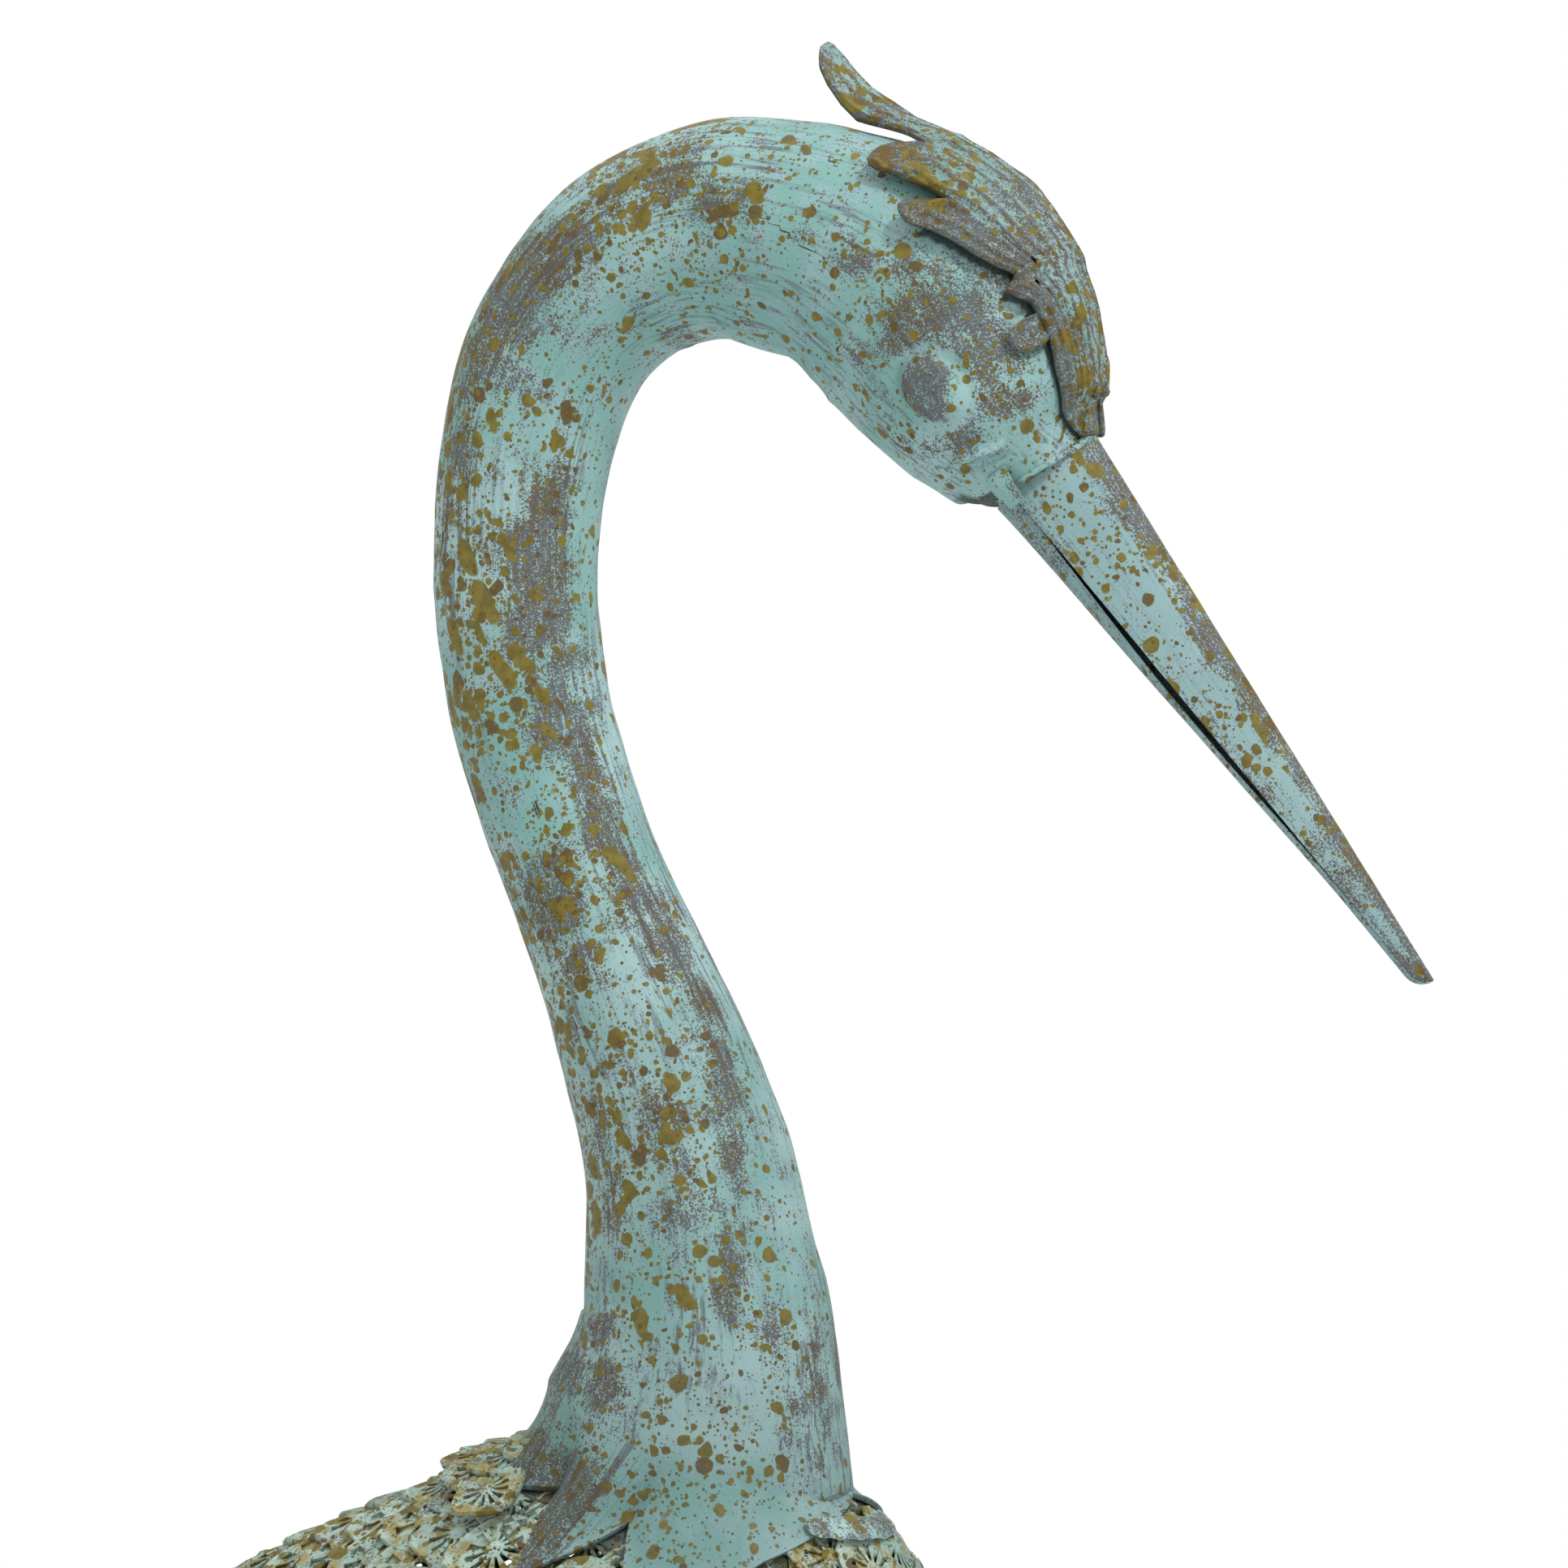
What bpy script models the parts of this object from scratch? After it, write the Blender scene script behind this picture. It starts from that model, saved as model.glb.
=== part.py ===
"""Standing crane garden statue in painted sheet steel and pierced cast plates.

Working lengths are millimetres; they become metres where the meshes are made.
The bird faces +X, its right side faces -Y, and the base stands on Z = 0.
"""
import math

import bmesh
import bpy

MM = 0.001
RAD = math.pi / 180.0

# Driving sizes
BODY_CENTRE_X = 31.4
BODY_CENTRE_Z = 632.7
BODY_LENGTH = 441.0
BODY_HALF_HEIGHT = 102.0
BODY_HALF_WIDTH = 85.0
BREAST_REACH = 134.6
BODY_SLOPE = 0.18
BODY_SEAT = 2.5
FEATHER_RELIEF = 2.4
SHEET = 2.0
GAP = 0.3
NECK_COLUMNS = 36
COLLAR_TILT = 20.8 * RAD
COLLAR_ANGLE = 27.4
CREST_THICKNESS = 2.2
CREST_CLEARANCE = 1.7
PLUME_LIFT = 25.0
EYE_LENGTH = 17.0
EYE_WIDTH = 12.0
EYE_HEIGHT = 3.0
CHEEK_RADIUS = 9.5
CHEEK_HEIGHT = 3.0
BEAK_LENGTH = 232.0
BEAK_DROOP = 57.0 * RAD
BEAK_DEPTH = 35.0
BEAK_HALF_WIDTH = 12.0
BEAK_TIP_DEPTH = 4.7
BEAK_TIP_HALF_WIDTH = 2.2
BEAK_CHANNEL_WALL = 1.2
LOWER_BEAK_DEPTH = 8.0
HIP_X = BODY_CENTRE_X - 26.0
LEG_SIDE = 36.0
LEG_RADIUS = 30.0
SHANK_RADIUS = 6.0
ANKLE_HEIGHT = 275.0
FOOT_SIDE = 44.0
FOOT_HEIGHT = 14.0
TOE_LENGTH = 78.0
HIND_TOE_LENGTH = 40.0
BASE_LENGTH = 340.0
BASE_WIDTH = 250.0
BASE_THICKNESS = 10.0

# Neck and head stations from the collar to the beak: x and z measured from the
# body's centre, half depth in the plane of symmetry, half width across it.
NECK = [
    (42.3, 105.5, 60.8, 55.5),
    (44.7, 128.9, 52.6, 49.0),
    (44.6, 150.0, 47.4, 44.5),
    (42.4, 168.1, 44.3, 41.5),
    (37.5, 204.2, 39.5, 37.0),
    (26.4, 239.6, 35.7, 33.5),
    (11.5, 275.8, 32.1, 30.5),
    (-3.0, 308.4, 30.1, 28.5),
    (-16.6, 342.7, 30.1, 28.0),
    (-26.6, 373.5, 30.5, 28.0),
    (-31.6, 404.0, 30.8, 28.5),
    (-33.0, 434.6, 31.4, 29.0),
    (-30.3, 465.0, 32.3, 30.0),
    (-22.6, 495.3, 33.5, 31.0),
    (-9.7, 519.4, 34.7, 32.0),
    (9.9, 538.6, 37.0, 33.0),
    (32.6, 549.4, 39.3, 34.0),
    (55.8, 553.2, 41.2, 35.0),
    (79.8, 549.3, 43.3, 36.5),
    (95.6, 545.2, 44.1, 37.5),
    (113.5, 536.8, 48.0, 38.5),
    (132.3, 523.4, 51.2, 38.5),
    (146.5, 504.1, 48.0, 37.0),
    (161.6, 480.1, 39.2, 32.0),
    (169.4, 467.0, 30.5, 24.0),
    (177.4, 458.8, 21.3, 16.0),
]
HEAD_END = len(NECK) - 1.0

# Skirt hem: angle round the collar, angle round the hem, angle down the body.
HEM = [
    (0, 0, 29.5), (10, 14, 33), (30, 40, 40), (50, 62, 50), (60, 70, 56),
    (70, 77, 43), (80, 82, 33), (90, 100, 47), (100, 107, 55), (110, 111, 46),
    (120, 120, 31), (130, 140, 39), (140, 146, 45.5), (150, 152, 31),
    (170, 172, 40), (180, 180, 44),
]

# Crest columns over one half of the head: place along the head where the column
# ends, and its share of the crest's width.
CREST_COLUMNS = [
    (17.85, 0.0), (18.2, 0.15), (19.8, 0.34), (19.7, 0.52), (19.6, 0.70),
    (20.6, 0.76), (20.55, 0.88), (20.5, 1.0),
]
CREST_ROWS = [0.0, 0.1, 0.2, 0.3, 0.4, 0.48, 0.53, 0.58, 0.62, 0.67, 0.71, 0.76, 0.82,
              0.88, 0.94, 1.0]
# Outer edge of the crest: place along the head and angle from its top line.
CREST_EDGE = [
    (20.5, 61), (20.7, 63), (21.3, 53), (21.6, 46), (21.8, 41), (21.95, 48),
    (22.1, 42), (22.2, 29), (22.68, 29), (22.8, 38), (23.1, 38), (23.9, 38), (24.9, 34),
]
CREST_FRONT = 24.85
EYE_PLACE = 22.45
EYE_ANGLE = 43.5
CHEEK_PLACE = 22.4
CHEEK_ANGLE = 99.5


def spline(points, place):
    """A smooth curve through points, read at a place counted in points."""
    last = len(points) - 1
    place = max(0.0, min(last - 1e-9, place))
    i = int(place)
    t = place - i

    def point(k):
        if k < 0:
            return [2 * p - q for p, q in zip(points[0], points[1])]
        if k > last:
            return [2 * p - q for p, q in zip(points[last], points[last - 1])]
        return points[k]

    return [0.5 * (2 * b + (c - a) * t + (2 * a - 5 * b + 4 * c - d) * t * t
                   + (3 * b - a - 3 * c + d) * t ** 3)
            for a, b, c, d in zip(point(i - 1), point(i), point(i + 1), point(i + 2))]


def along(pairs, x):
    """Straight-line reading of a list of (x, value) pairs in rising x."""
    if x <= pairs[0][0]:
        return pairs[0][1]
    for (x0, y0), (x1, y1) in zip(pairs, pairs[1:]):
        if x <= x1:
            return y0 + (y1 - y0) * (x - x0) / (x1 - x0)
    return pairs[-1][1]


def body_x(share):
    """The x a share of the body's length behind the front of the breast."""
    return BODY_CENTRE_X + BREAST_REACH - share * BODY_LENGTH


def body_profile(x):
    """Share of the body's full half height at x, and the middle's height there."""
    u = (BODY_CENTRE_X + BREAST_REACH - x) / BODY_LENGTH
    middle = BODY_CENTRE_Z - 2.7 + BODY_SLOPE * (x - BODY_CENTRE_X + 11.4)
    if u <= 0.0 or u >= 1.0:
        return 0.0, middle
    return math.sin(math.pi * u ** 0.62) ** 0.8, middle


def inside_body(x, y, z):
    share, middle = body_profile(x)
    if share <= 0.0:
        return False
    return ((y / (BODY_HALF_WIDTH * share)) ** 2
            + ((z - middle) / (BODY_HALF_HEIGHT * share)) ** 2) < 1.0


def collar_direction(turn, down):
    """Direction from the body's centre: turn 0 is the front and 90 the right
    side; down is the angle away from the collar's axis. Degrees."""
    ct, st = math.cos(turn * RAD), math.sin(turn * RAD)
    cd, sd = math.cos(down * RAD), math.sin(down * RAD)
    nx, nz = math.sin(COLLAR_TILT), math.cos(COLLAR_TILT)
    return (cd * nx + sd * ct * nz, -sd * st, cd * nz - sd * ct * nx)


def on_body(direction):
    low, high = 0.0, 500.0
    for _ in range(40):
        reach = (low + high) / 2
        if inside_body(BODY_CENTRE_X + direction[0] * reach, direction[1] * reach,
                       BODY_CENTRE_Z + direction[2] * reach):
            low = reach
        else:
            high = reach
    return (BODY_CENTRE_X + direction[0] * low, direction[1] * low,
            BODY_CENTRE_Z + direction[2] * low)


def cross(a, b):
    return (a[1] * b[2] - a[2] * b[1], a[2] * b[0] - a[0] * b[2],
            a[0] * b[1] - a[1] * b[0])


def less(a, b):
    return tuple(p - q for p, q in zip(a, b))


def outward(point, side_a, side_b, away, distance):
    """The point moved off its surface; away gives the outer side."""
    n = cross(less(side_a, point), less(side_b, point))
    size = math.sqrt(sum(c * c for c in n))
    sign = 1.0 if sum(p * q for p, q in zip(n, away)) > 0 else -1.0
    return tuple(p + sign * distance * c / size for p, c in zip(point, n))


def body_at(turn, down, distance=0.0):
    """A point over the body, a distance off its surface, by collar angles."""
    away = collar_direction(turn, down)
    point = on_body(away)
    if distance == 0.0:
        return point
    step = 0.6
    a = on_body(collar_direction(turn, down + step))
    if down < 3.0:
        b = on_body(collar_direction(turn + 90.0, down + step))
    else:
        b = on_body(collar_direction(turn + step / math.sin(down * RAD), down))
    return outward(point, a, b, away, distance)


def flank_at(x, angle, distance=0.0):
    """A point over the body by x and the angle from its top line, right side."""
    share, middle = body_profile(x)
    share = max(share, 0.01)
    s, c = math.sin(angle * RAD), math.cos(angle * RAD)
    half_width, half_height = BODY_HALF_WIDTH * share, BODY_HALF_HEIGHT * share
    ny, nz = s / half_width, c / half_height
    size = math.hypot(ny, nz)
    return (x, -(half_width * s + distance * ny / size),
            middle + half_height * c + distance * nz / size)


def neck_axis(place):
    """Centre, half sizes and direction of the neck at a place along it."""
    place = max(0.0, min(HEAD_END, place))
    x, z, deep, wide = spline(NECK, place)
    before = spline(NECK, max(0.0, place - 0.02))
    after = spline(NECK, min(HEAD_END, place + 0.02))
    tx, tz = after[0] - before[0], after[1] - before[1]
    size = math.hypot(tx, tz)
    tx, tz = tx / size, tz / size
    keep = max(0.0, 1.0 - place / 2.5)
    tx = tx * (1 - keep) + math.sin(COLLAR_TILT) * keep
    tz = tz * (1 - keep) + math.cos(COLLAR_TILT) * keep
    keep = max(0.0, (place - HEAD_END + 2.0) / 2.0)
    tx = tx * (1 - keep) + math.cos(BEAK_DROOP) * keep
    tz = tz * (1 - keep) - math.sin(BEAK_DROOP) * keep
    size = math.hypot(tx, tz)
    return BODY_CENTRE_X + x, BODY_CENTRE_Z + z, deep, wide, tx / size, tz / size


def neck_at(place, turn, distance=0.0):
    """A point on the neck and head: turn 0 is the throat side, 90 the right
    side and 180 the back of the neck or top of the head."""
    x, z, deep, wide, tx, tz = neck_axis(place)
    c, s = math.cos(turn * RAD), math.sin(turn * RAD)
    size = math.hypot(c / deep, s / wide)
    reach = -(deep * c + distance * c / deep / size)
    return (x - tz * reach, -(wide * s + distance * s / wide / size), z + tx * reach)


def make_material(name, colour, metallic, roughness):
    material = bpy.data.materials.new(name)
    material.use_nodes = True
    shader = material.node_tree.nodes["Principled BSDF"]
    shader.inputs["Base Color"].default_value = colour
    shader.inputs["Metallic"].default_value = metallic
    shader.inputs["Roughness"].default_value = roughness
    return material


def make_solid(name, points, faces, material, smooth):
    """One closed body from points in millimetres, facing out."""
    shell = bmesh.new()
    corners = [shell.verts.new((p[0] * MM, p[1] * MM, p[2] * MM)) for p in points]
    for face in faces:
        shell.faces.new([corners[i] for i in face])
    bmesh.ops.recalc_face_normals(shell, faces=shell.faces)
    bmesh.ops.triangulate(shell, faces=shell.faces, quad_method="SHORT_EDGE")
    mesh = bpy.data.meshes.new(name)
    shell.to_mesh(mesh)
    shell.free()
    for polygon in mesh.polygons:
        polygon.use_smooth = smooth
    mesh.materials.append(material)
    item = bpy.data.objects.new(name, mesh)
    COLLECTION.objects.link(item)
    return item


def closed_rings(name, start, rings, end, material, smooth=True):
    """A solid of rings with the same count of points, closed by two points."""
    count = len(rings[0])
    points = [start] + [p for ring in rings for p in ring] + [end]
    faces = []
    for j in range(count):
        k = (j + 1) % count
        faces.append((0, 1 + k, 1 + j))
        for r in range(len(rings) - 1):
            low, high = 1 + r * count, 1 + (r + 1) * count
            faces.append((low + j, low + k, high + k, high + j))
        top = 1 + (len(rings) - 1) * count
        faces.append((top + j, top + k, len(points) - 1))
    return make_solid(name, points, faces, material, smooth)


def closed_plate(name, outer, inner, material, smooth=True):
    """A thin plate between two grids of points, closed round its edge."""
    rows, columns = len(outer), len(outer[0])
    points = [p for row in outer for p in row] + [p for row in inner for p in row]
    half = rows * columns
    faces = []
    for r in range(rows - 1):
        for c in range(columns - 1):
            a, b = r * columns + c, r * columns + c + 1
            d, e = a + columns, b + columns
            faces.append((a, b, e, d))
            faces.append((half + a, half + d, half + e, half + b))
    edge = [c for c in range(columns)]
    edge += [r * columns + columns - 1 for r in range(1, rows)]
    edge += [(rows - 1) * columns + c for c in range(columns - 2, -1, -1)]
    edge += [r * columns for r in range(rows - 2, 0, -1)]
    for i, a in enumerate(edge):
        b = edge[(i + 1) % len(edge)]
        faces.append((a, half + a, half + b, b))
    return make_solid(name, points, faces, material, smooth)


def hem_at(turn):
    """Hem angles for a column at an angle round the collar."""
    folded = turn if turn <= 180 else 360 - turn
    out = along([(h[0], h[1]) for h in HEM], folded)
    down = along([(h[0], h[2]) for h in HEM], folded)
    return (out if turn <= 180 else 360 - out), down


def build_neck(material):
    """Neck and head with the feathered skirt that lies on the body."""
    turns = [j * 360.0 / NECK_COLUMNS for j in range(NECK_COLUMNS)]
    rings = []
    for share in (0.25, 0.5, 0.7, 0.86, 1.0):
        ring = []
        for turn in turns:
            out, down = hem_at(turn)
            ring.append(body_at(out, down * share, GAP))
        rings.append(ring)
    for share in (1.0, 0.7, 0.45, 0.2):
        ring = []
        for turn in turns:
            out, down = hem_at(turn)
            face = GAP + SHEET + 4.0 * max(0.0, abs(180 - abs(180 - turn)) / 60.0 - 2.0)
            root = body_at(turn, COLLAR_ANGLE, face)
            rise = less(neck_at(0.0, turn), root)
            point = body_at(turn + (out - turn) * share,
                            COLLAR_ANGLE + (down - COLLAR_ANGLE) * share, face)
            lift = (1.0 - share) ** 2
            ring.append(tuple(p + q * lift for p, q in zip(point, rise)))
        rings.append(ring)
    places = [0.0, 0.5, 1.0, 1.5, 2.0, 2.5, 3.0, 3.5, 4.0, 4.5, 5.0]
    places += [5.6 + 0.6 * i for i in range(25)]
    places += [20.5, 21.0, 21.5, 21.9, 22.15, 22.4, 22.65, 22.9, 23.3, 23.7, 24.1, 24.5, 25.0]
    for place in places:
        ring = []
        for turn in turns:
            bump = 0.0
            side = min(abs(turn - 180 + CHEEK_ANGLE), abs(turn - 180 - CHEEK_ANGLE))
            _, _, deep, wide, _, _ = neck_axis(CHEEK_PLACE)
            far = math.hypot((place - CHEEK_PLACE) * 20.0, side * RAD * wide * 1.05)
            if far < CHEEK_RADIUS * 1.3:
                bump = CHEEK_HEIGHT * min(1.0, 1.6 * (1.0 - far / (CHEEK_RADIUS * 1.3)))
            ring.append(neck_at(place, turn, bump))
        rings.append(ring)
    x, z, _, _, _, _ = neck_axis(HEAD_END)
    return closed_rings("neck_and_head", body_at(0, 0, GAP), rings, (x, 0.0, z), material)


def crest_angle(place, share):
    return share * along(CREST_EDGE, place)


def build_crest(material):
    """Cast crest plate: a fan of lobes swept back from the forehead, with the
    middle one curled up as a plume."""
    halves = [(-share, end) for end, share in reversed(CREST_COLUMNS[1:])]
    halves += [(share, end) for end, share in CREST_COLUMNS]
    outer, inner = [], []
    for row in CREST_ROWS:
        out_row, in_row = [], []
        for share, end in halves:
            place = CREST_FRONT + (end - CREST_FRONT) * row
            turn = 180 - math.copysign(crest_angle(place, abs(share)), share)
            lift = 3.5 * row ** 4 * abs(share) ** 0.5
            if abs(share) < 0.3:
                plume = 1.0 - abs(share) / 0.5
                lift += PLUME_LIFT * plume * max(0.0, (row - 0.78) / 0.22) ** 1.7
            vein = 2.4 * math.exp(-((row - 0.60) / 0.26) ** 2) * (1 - 0.7 * abs(share))
            in_row.append(neck_at(place, turn, CREST_CLEARANCE + lift + 0.9 * vein))
            thick = CREST_THICKNESS + vein
            out_row.append(neck_at(place, turn, CREST_CLEARANCE + lift + thick))
        outer.append(out_row)
        inner.append(in_row)
    return closed_plate("crest", outer, inner, material)


def build_eye(name, side, material):
    """Kidney-shaped cast eye on the side of the head; side is 1 on the right."""
    ring_count = 12
    _, _, deep, wide, _, _ = neck_axis(EYE_PLACE)
    per_degree = RAD * (deep + wide) / 2

    def point(radius, angle, height):
        u = EYE_LENGTH / 2 * radius * math.cos(angle)
        v = EYE_WIDTH / 2 * radius * math.sin(angle)
        if math.sin(angle) > 0:
            v -= 0.18 * EYE_WIDTH * radius * math.sin(angle) ** 2
        lean = 88 * RAD
        along_head = u * math.cos(lean) - v * math.sin(lean)
        across = u * math.sin(lean) + v * math.cos(lean)
        place = EYE_PLACE + along_head / 27.0
        turn = EYE_ANGLE + across / per_degree
        return neck_at(place, 180 - side * turn, height)

    rings = []
    for radius, height in ((0.5, GAP), (1.0, GAP), (1.0, 0.5 * EYE_HEIGHT),
                           (0.85, EYE_HEIGHT), (0.55, 0.75 * EYE_HEIGHT)):
        rings.append([point(radius, 2 * math.pi * j / ring_count, height + GAP)
                      for j in range(ring_count)])
    return closed_rings(name, point(0, 0, 2 * GAP), rings,
                        point(0, 0, 0.8 * EYE_HEIGHT), material)


def beak_frame():
    """Where the beak's ridge starts, its direction and its downward direction."""
    x, z, deep, _, tx, tz = neck_axis(HEAD_END)
    crown = deep + CREST_CLEARANCE + CREST_THICKNESS
    start = (x - tz * crown + tx * 2 * GAP, z + tx * crown + tz * 2 * GAP)
    run = (math.cos(BEAK_DROOP), -math.sin(BEAK_DROOP))
    return start, run, (run[1], -run[0])


def beak_point(t, side, depth):
    start, run, down = beak_frame()
    distance = t * BEAK_LENGTH
    return (start[0] + run[0] * distance + down[0] * depth, side,
            start[1] + run[1] * distance + down[1] * depth)


def build_beaks(material):
    """Two folded sheet channels with a narrow gap between them."""
    profile = [(1.0, 1.0), (0.92, 0.55), (0.62, 0.16), (0.0, 0.0)]
    stations = [0.0, 0.12, 0.3, 0.5, 0.7, 0.88, 0.97, 1.0]
    outer, inner = [], []
    lower_outer, lower_inner = [], []
    for t in stations:
        pinch = 0.6 if t == 1.0 else 1.0
        depth = (BEAK_DEPTH + (BEAK_TIP_DEPTH - BEAK_DEPTH) * t) * pinch
        half = (BEAK_HALF_WIDTH + (BEAK_TIP_HALF_WIDTH - BEAK_HALF_WIDTH) * t) * pinch
        wall = min(BEAK_CHANNEL_WALL, half * 0.4)
        out_row, in_row = [], []
        for sign, order in ((-1, profile[:-1]), (1, profile[::-1])):
            for w, d in order:
                out_row.append(beak_point(t, sign * w * half, d * depth))
                inset = (half - wall) / half
                in_row.append(beak_point(t, sign * w * half * inset,
                                         d * depth + 1.3 * wall * (1 - d)))
        outer.append(out_row)
        inner.append(in_row)
        gap = GAP + 2.6 * math.sin(math.pi * min(1.0, t / 0.82)) ** 1.5
        rim = depth + gap
        keel = rim + 2.4 + (LOWER_BEAK_DEPTH - 1.2) * max(0.0, 1 - t / 0.5) ** 1.4
        keel += 1.0 * (1 - t)
        width = half * (0.82 - 0.1 * t)
        wall = min(0.9, width * 0.35)
        sides = ((-1.0, 0.0), (-0.8, 0.6), (0.0, 1.0), (0.8, 0.6), (1.0, 0.0))
        out_row, in_row = [], []
        for w, d in sides:
            out_row.append(beak_point(t, w * width, rim + d * (keel - rim)))
            in_row.append(beak_point(t, w * (width - wall),
                                     rim + d * (keel - rim - wall)))
        lower_outer.append(out_row)
        lower_inner.append(in_row)
    closed_plate("upper_beak", outer, inner, material, smooth=False)
    closed_plate("lower_beak", lower_outer, lower_inner, material, smooth=False)


def build_breast_tab(material):
    """Rolled band from the middle of the breast up over the right front feather."""
    outer, inner = [], []
    for down, height in ((33.2, 0.8), (34.2, 1.9), (35.8, 2.2), (37.2, 0.9)):
        out_row, in_row = [], []
        for turn in range(-12, 29, 4):
            sag = 1.5 * math.cos((turn - 8) / 20.0 * 90 * RAD)
            over = max(0.0, min(1.0, (turn - 4) / 8.0))
            base = GAP + (SHEET + 0.8) * over
            in_row.append(body_at(turn, down + sag, base))
            out_row.append(body_at(turn, down + sag, base + height))
        outer.append(out_row)
        inner.append(in_row)
    return closed_plate("breast_tab", outer, inner, material)


def covered(x, angle):
    """Whether a place on the body lies under the skirt, a wing, tail or thigh."""
    point = flank_at(x, angle)
    away = less(point, (BODY_CENTRE_X, 0.0, BODY_CENTRE_Z))
    size = math.sqrt(sum(c * c for c in away))
    cosine = (away[0] * math.sin(COLLAR_TILT) + away[2] * math.cos(COLLAR_TILT)) / size
    if cosine > math.cos(66 * RAD):
        return True
    side = angle if angle <= 180 else 360 - angle
    if x < body_x(0.25) and 50 < side < 140:
        return True
    if x < body_x(0.715) and side <= 62:
        return True
    return abs(x - HIP_X) < 1.85 * LEG_RADIUS and side > 115


def build_body(material):
    """Body of pointed overlapping feathers, standing for the pierced shell."""
    rows, columns = 24, 30
    rings = []
    for i in range(1, rows):
        x = body_x((i / rows) ** 1.25)
        ring = []
        for j in range(columns):
            angle = 360.0 * j / columns
            tip = i % 2 == 0 and (j + i // 2) % 2 == 0
            relief = FEATHER_RELIEF if tip and not covered(x, angle) else 0.0
            ring.append(flank_at(x, angle, relief - BODY_SEAT))
        rings.append(ring)
    nose = body_x(0.0)
    front = (nose - 2.0, 0.0, body_profile(nose)[1])
    rear_x = body_x(1.0) + 2.0
    rear = (rear_x, 0.0, body_profile(rear_x - 1.0)[1])
    return closed_rings("body", front, rings, rear, material)


def build_wing(name, side, material):
    """Folded wing plate with long pointed feathers; side is 1 on the right."""
    columns, rows = 12, 9
    outer, inner = [], []
    for r in range(rows):
        share = r / (rows - 1)
        out_row, in_row = [], []
        for c in range(columns + 1):
            across = c / columns
            angle = 60 + 68 * across
            front = 0.322 - 0.036 * math.sin(math.pi * across)
            end = 0.934 - 0.208 * across ** 1.3
            if c % 2 == 0:
                end -= 0.068
            x = body_x(front + (end - front) * share ** 0.9)
            ridge = 1.6 if c % 2 == 1 else 0.0
            low, high = 1.0 + GAP, 1.0 + GAP + SHEET + ridge * share
            point = flank_at(x, angle, high)
            out_row.append((point[0], point[1] * side, point[2]))
            point = flank_at(x, angle, low)
            in_row.append((point[0], point[1] * side, point[2]))
        outer.append(out_row)
        inner.append(in_row)
    return closed_plate(name, outer, inner, material)


def build_tail(material):
    """Drooping tail plate with five pointed feathers."""
    columns = 10
    centre = [(0.796, 0.568), (0.921, 0.312), (1.057, 0.006), (1.181, -0.319),
              (1.293, -0.683)]
    halves = [0.353, 0.494, 0.612, 0.706, 0.776]
    outer, inner = [], []
    for r in range(9):
        out_row, in_row = [], []
        for c in range(columns + 1):
            across = 2.0 * c / columns - 1.0
            end = 1.0 if c % 2 == 1 else 0.88
            t = r / 8.0 * end * (1 - 0.10 * across * across)
            back, up = spline(centre, t * 4)
            half = BODY_HALF_WIDTH * along(list(zip((0, 0.25, 0.5, 0.75, 1.0), halves)), t)
            drop = 0.14 * BODY_HALF_WIDTH * across * across
            ridge = 1.6 if c % 2 == 1 else 0.0
            _, middle = body_profile(body_x(back))
            low = (body_x(back), across * half, middle + up * BODY_HALF_HEIGHT - drop)
            in_row.append(low)
            out_row.append((low[0] + 0.6 * SHEET, low[1], low[2] + SHEET + 0.8 + ridge))
        outer.append(out_row)
        inner.append(in_row)
    return closed_plate("tail", outer, inner, material)


def belly_height(x, y, distance):
    share, middle = body_profile(x)
    inner = 1.0 - (y / (BODY_HALF_WIDTH * share)) ** 2
    return middle - BODY_HALF_HEIGHT * share * math.sqrt(max(0.0, inner)) - distance


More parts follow.
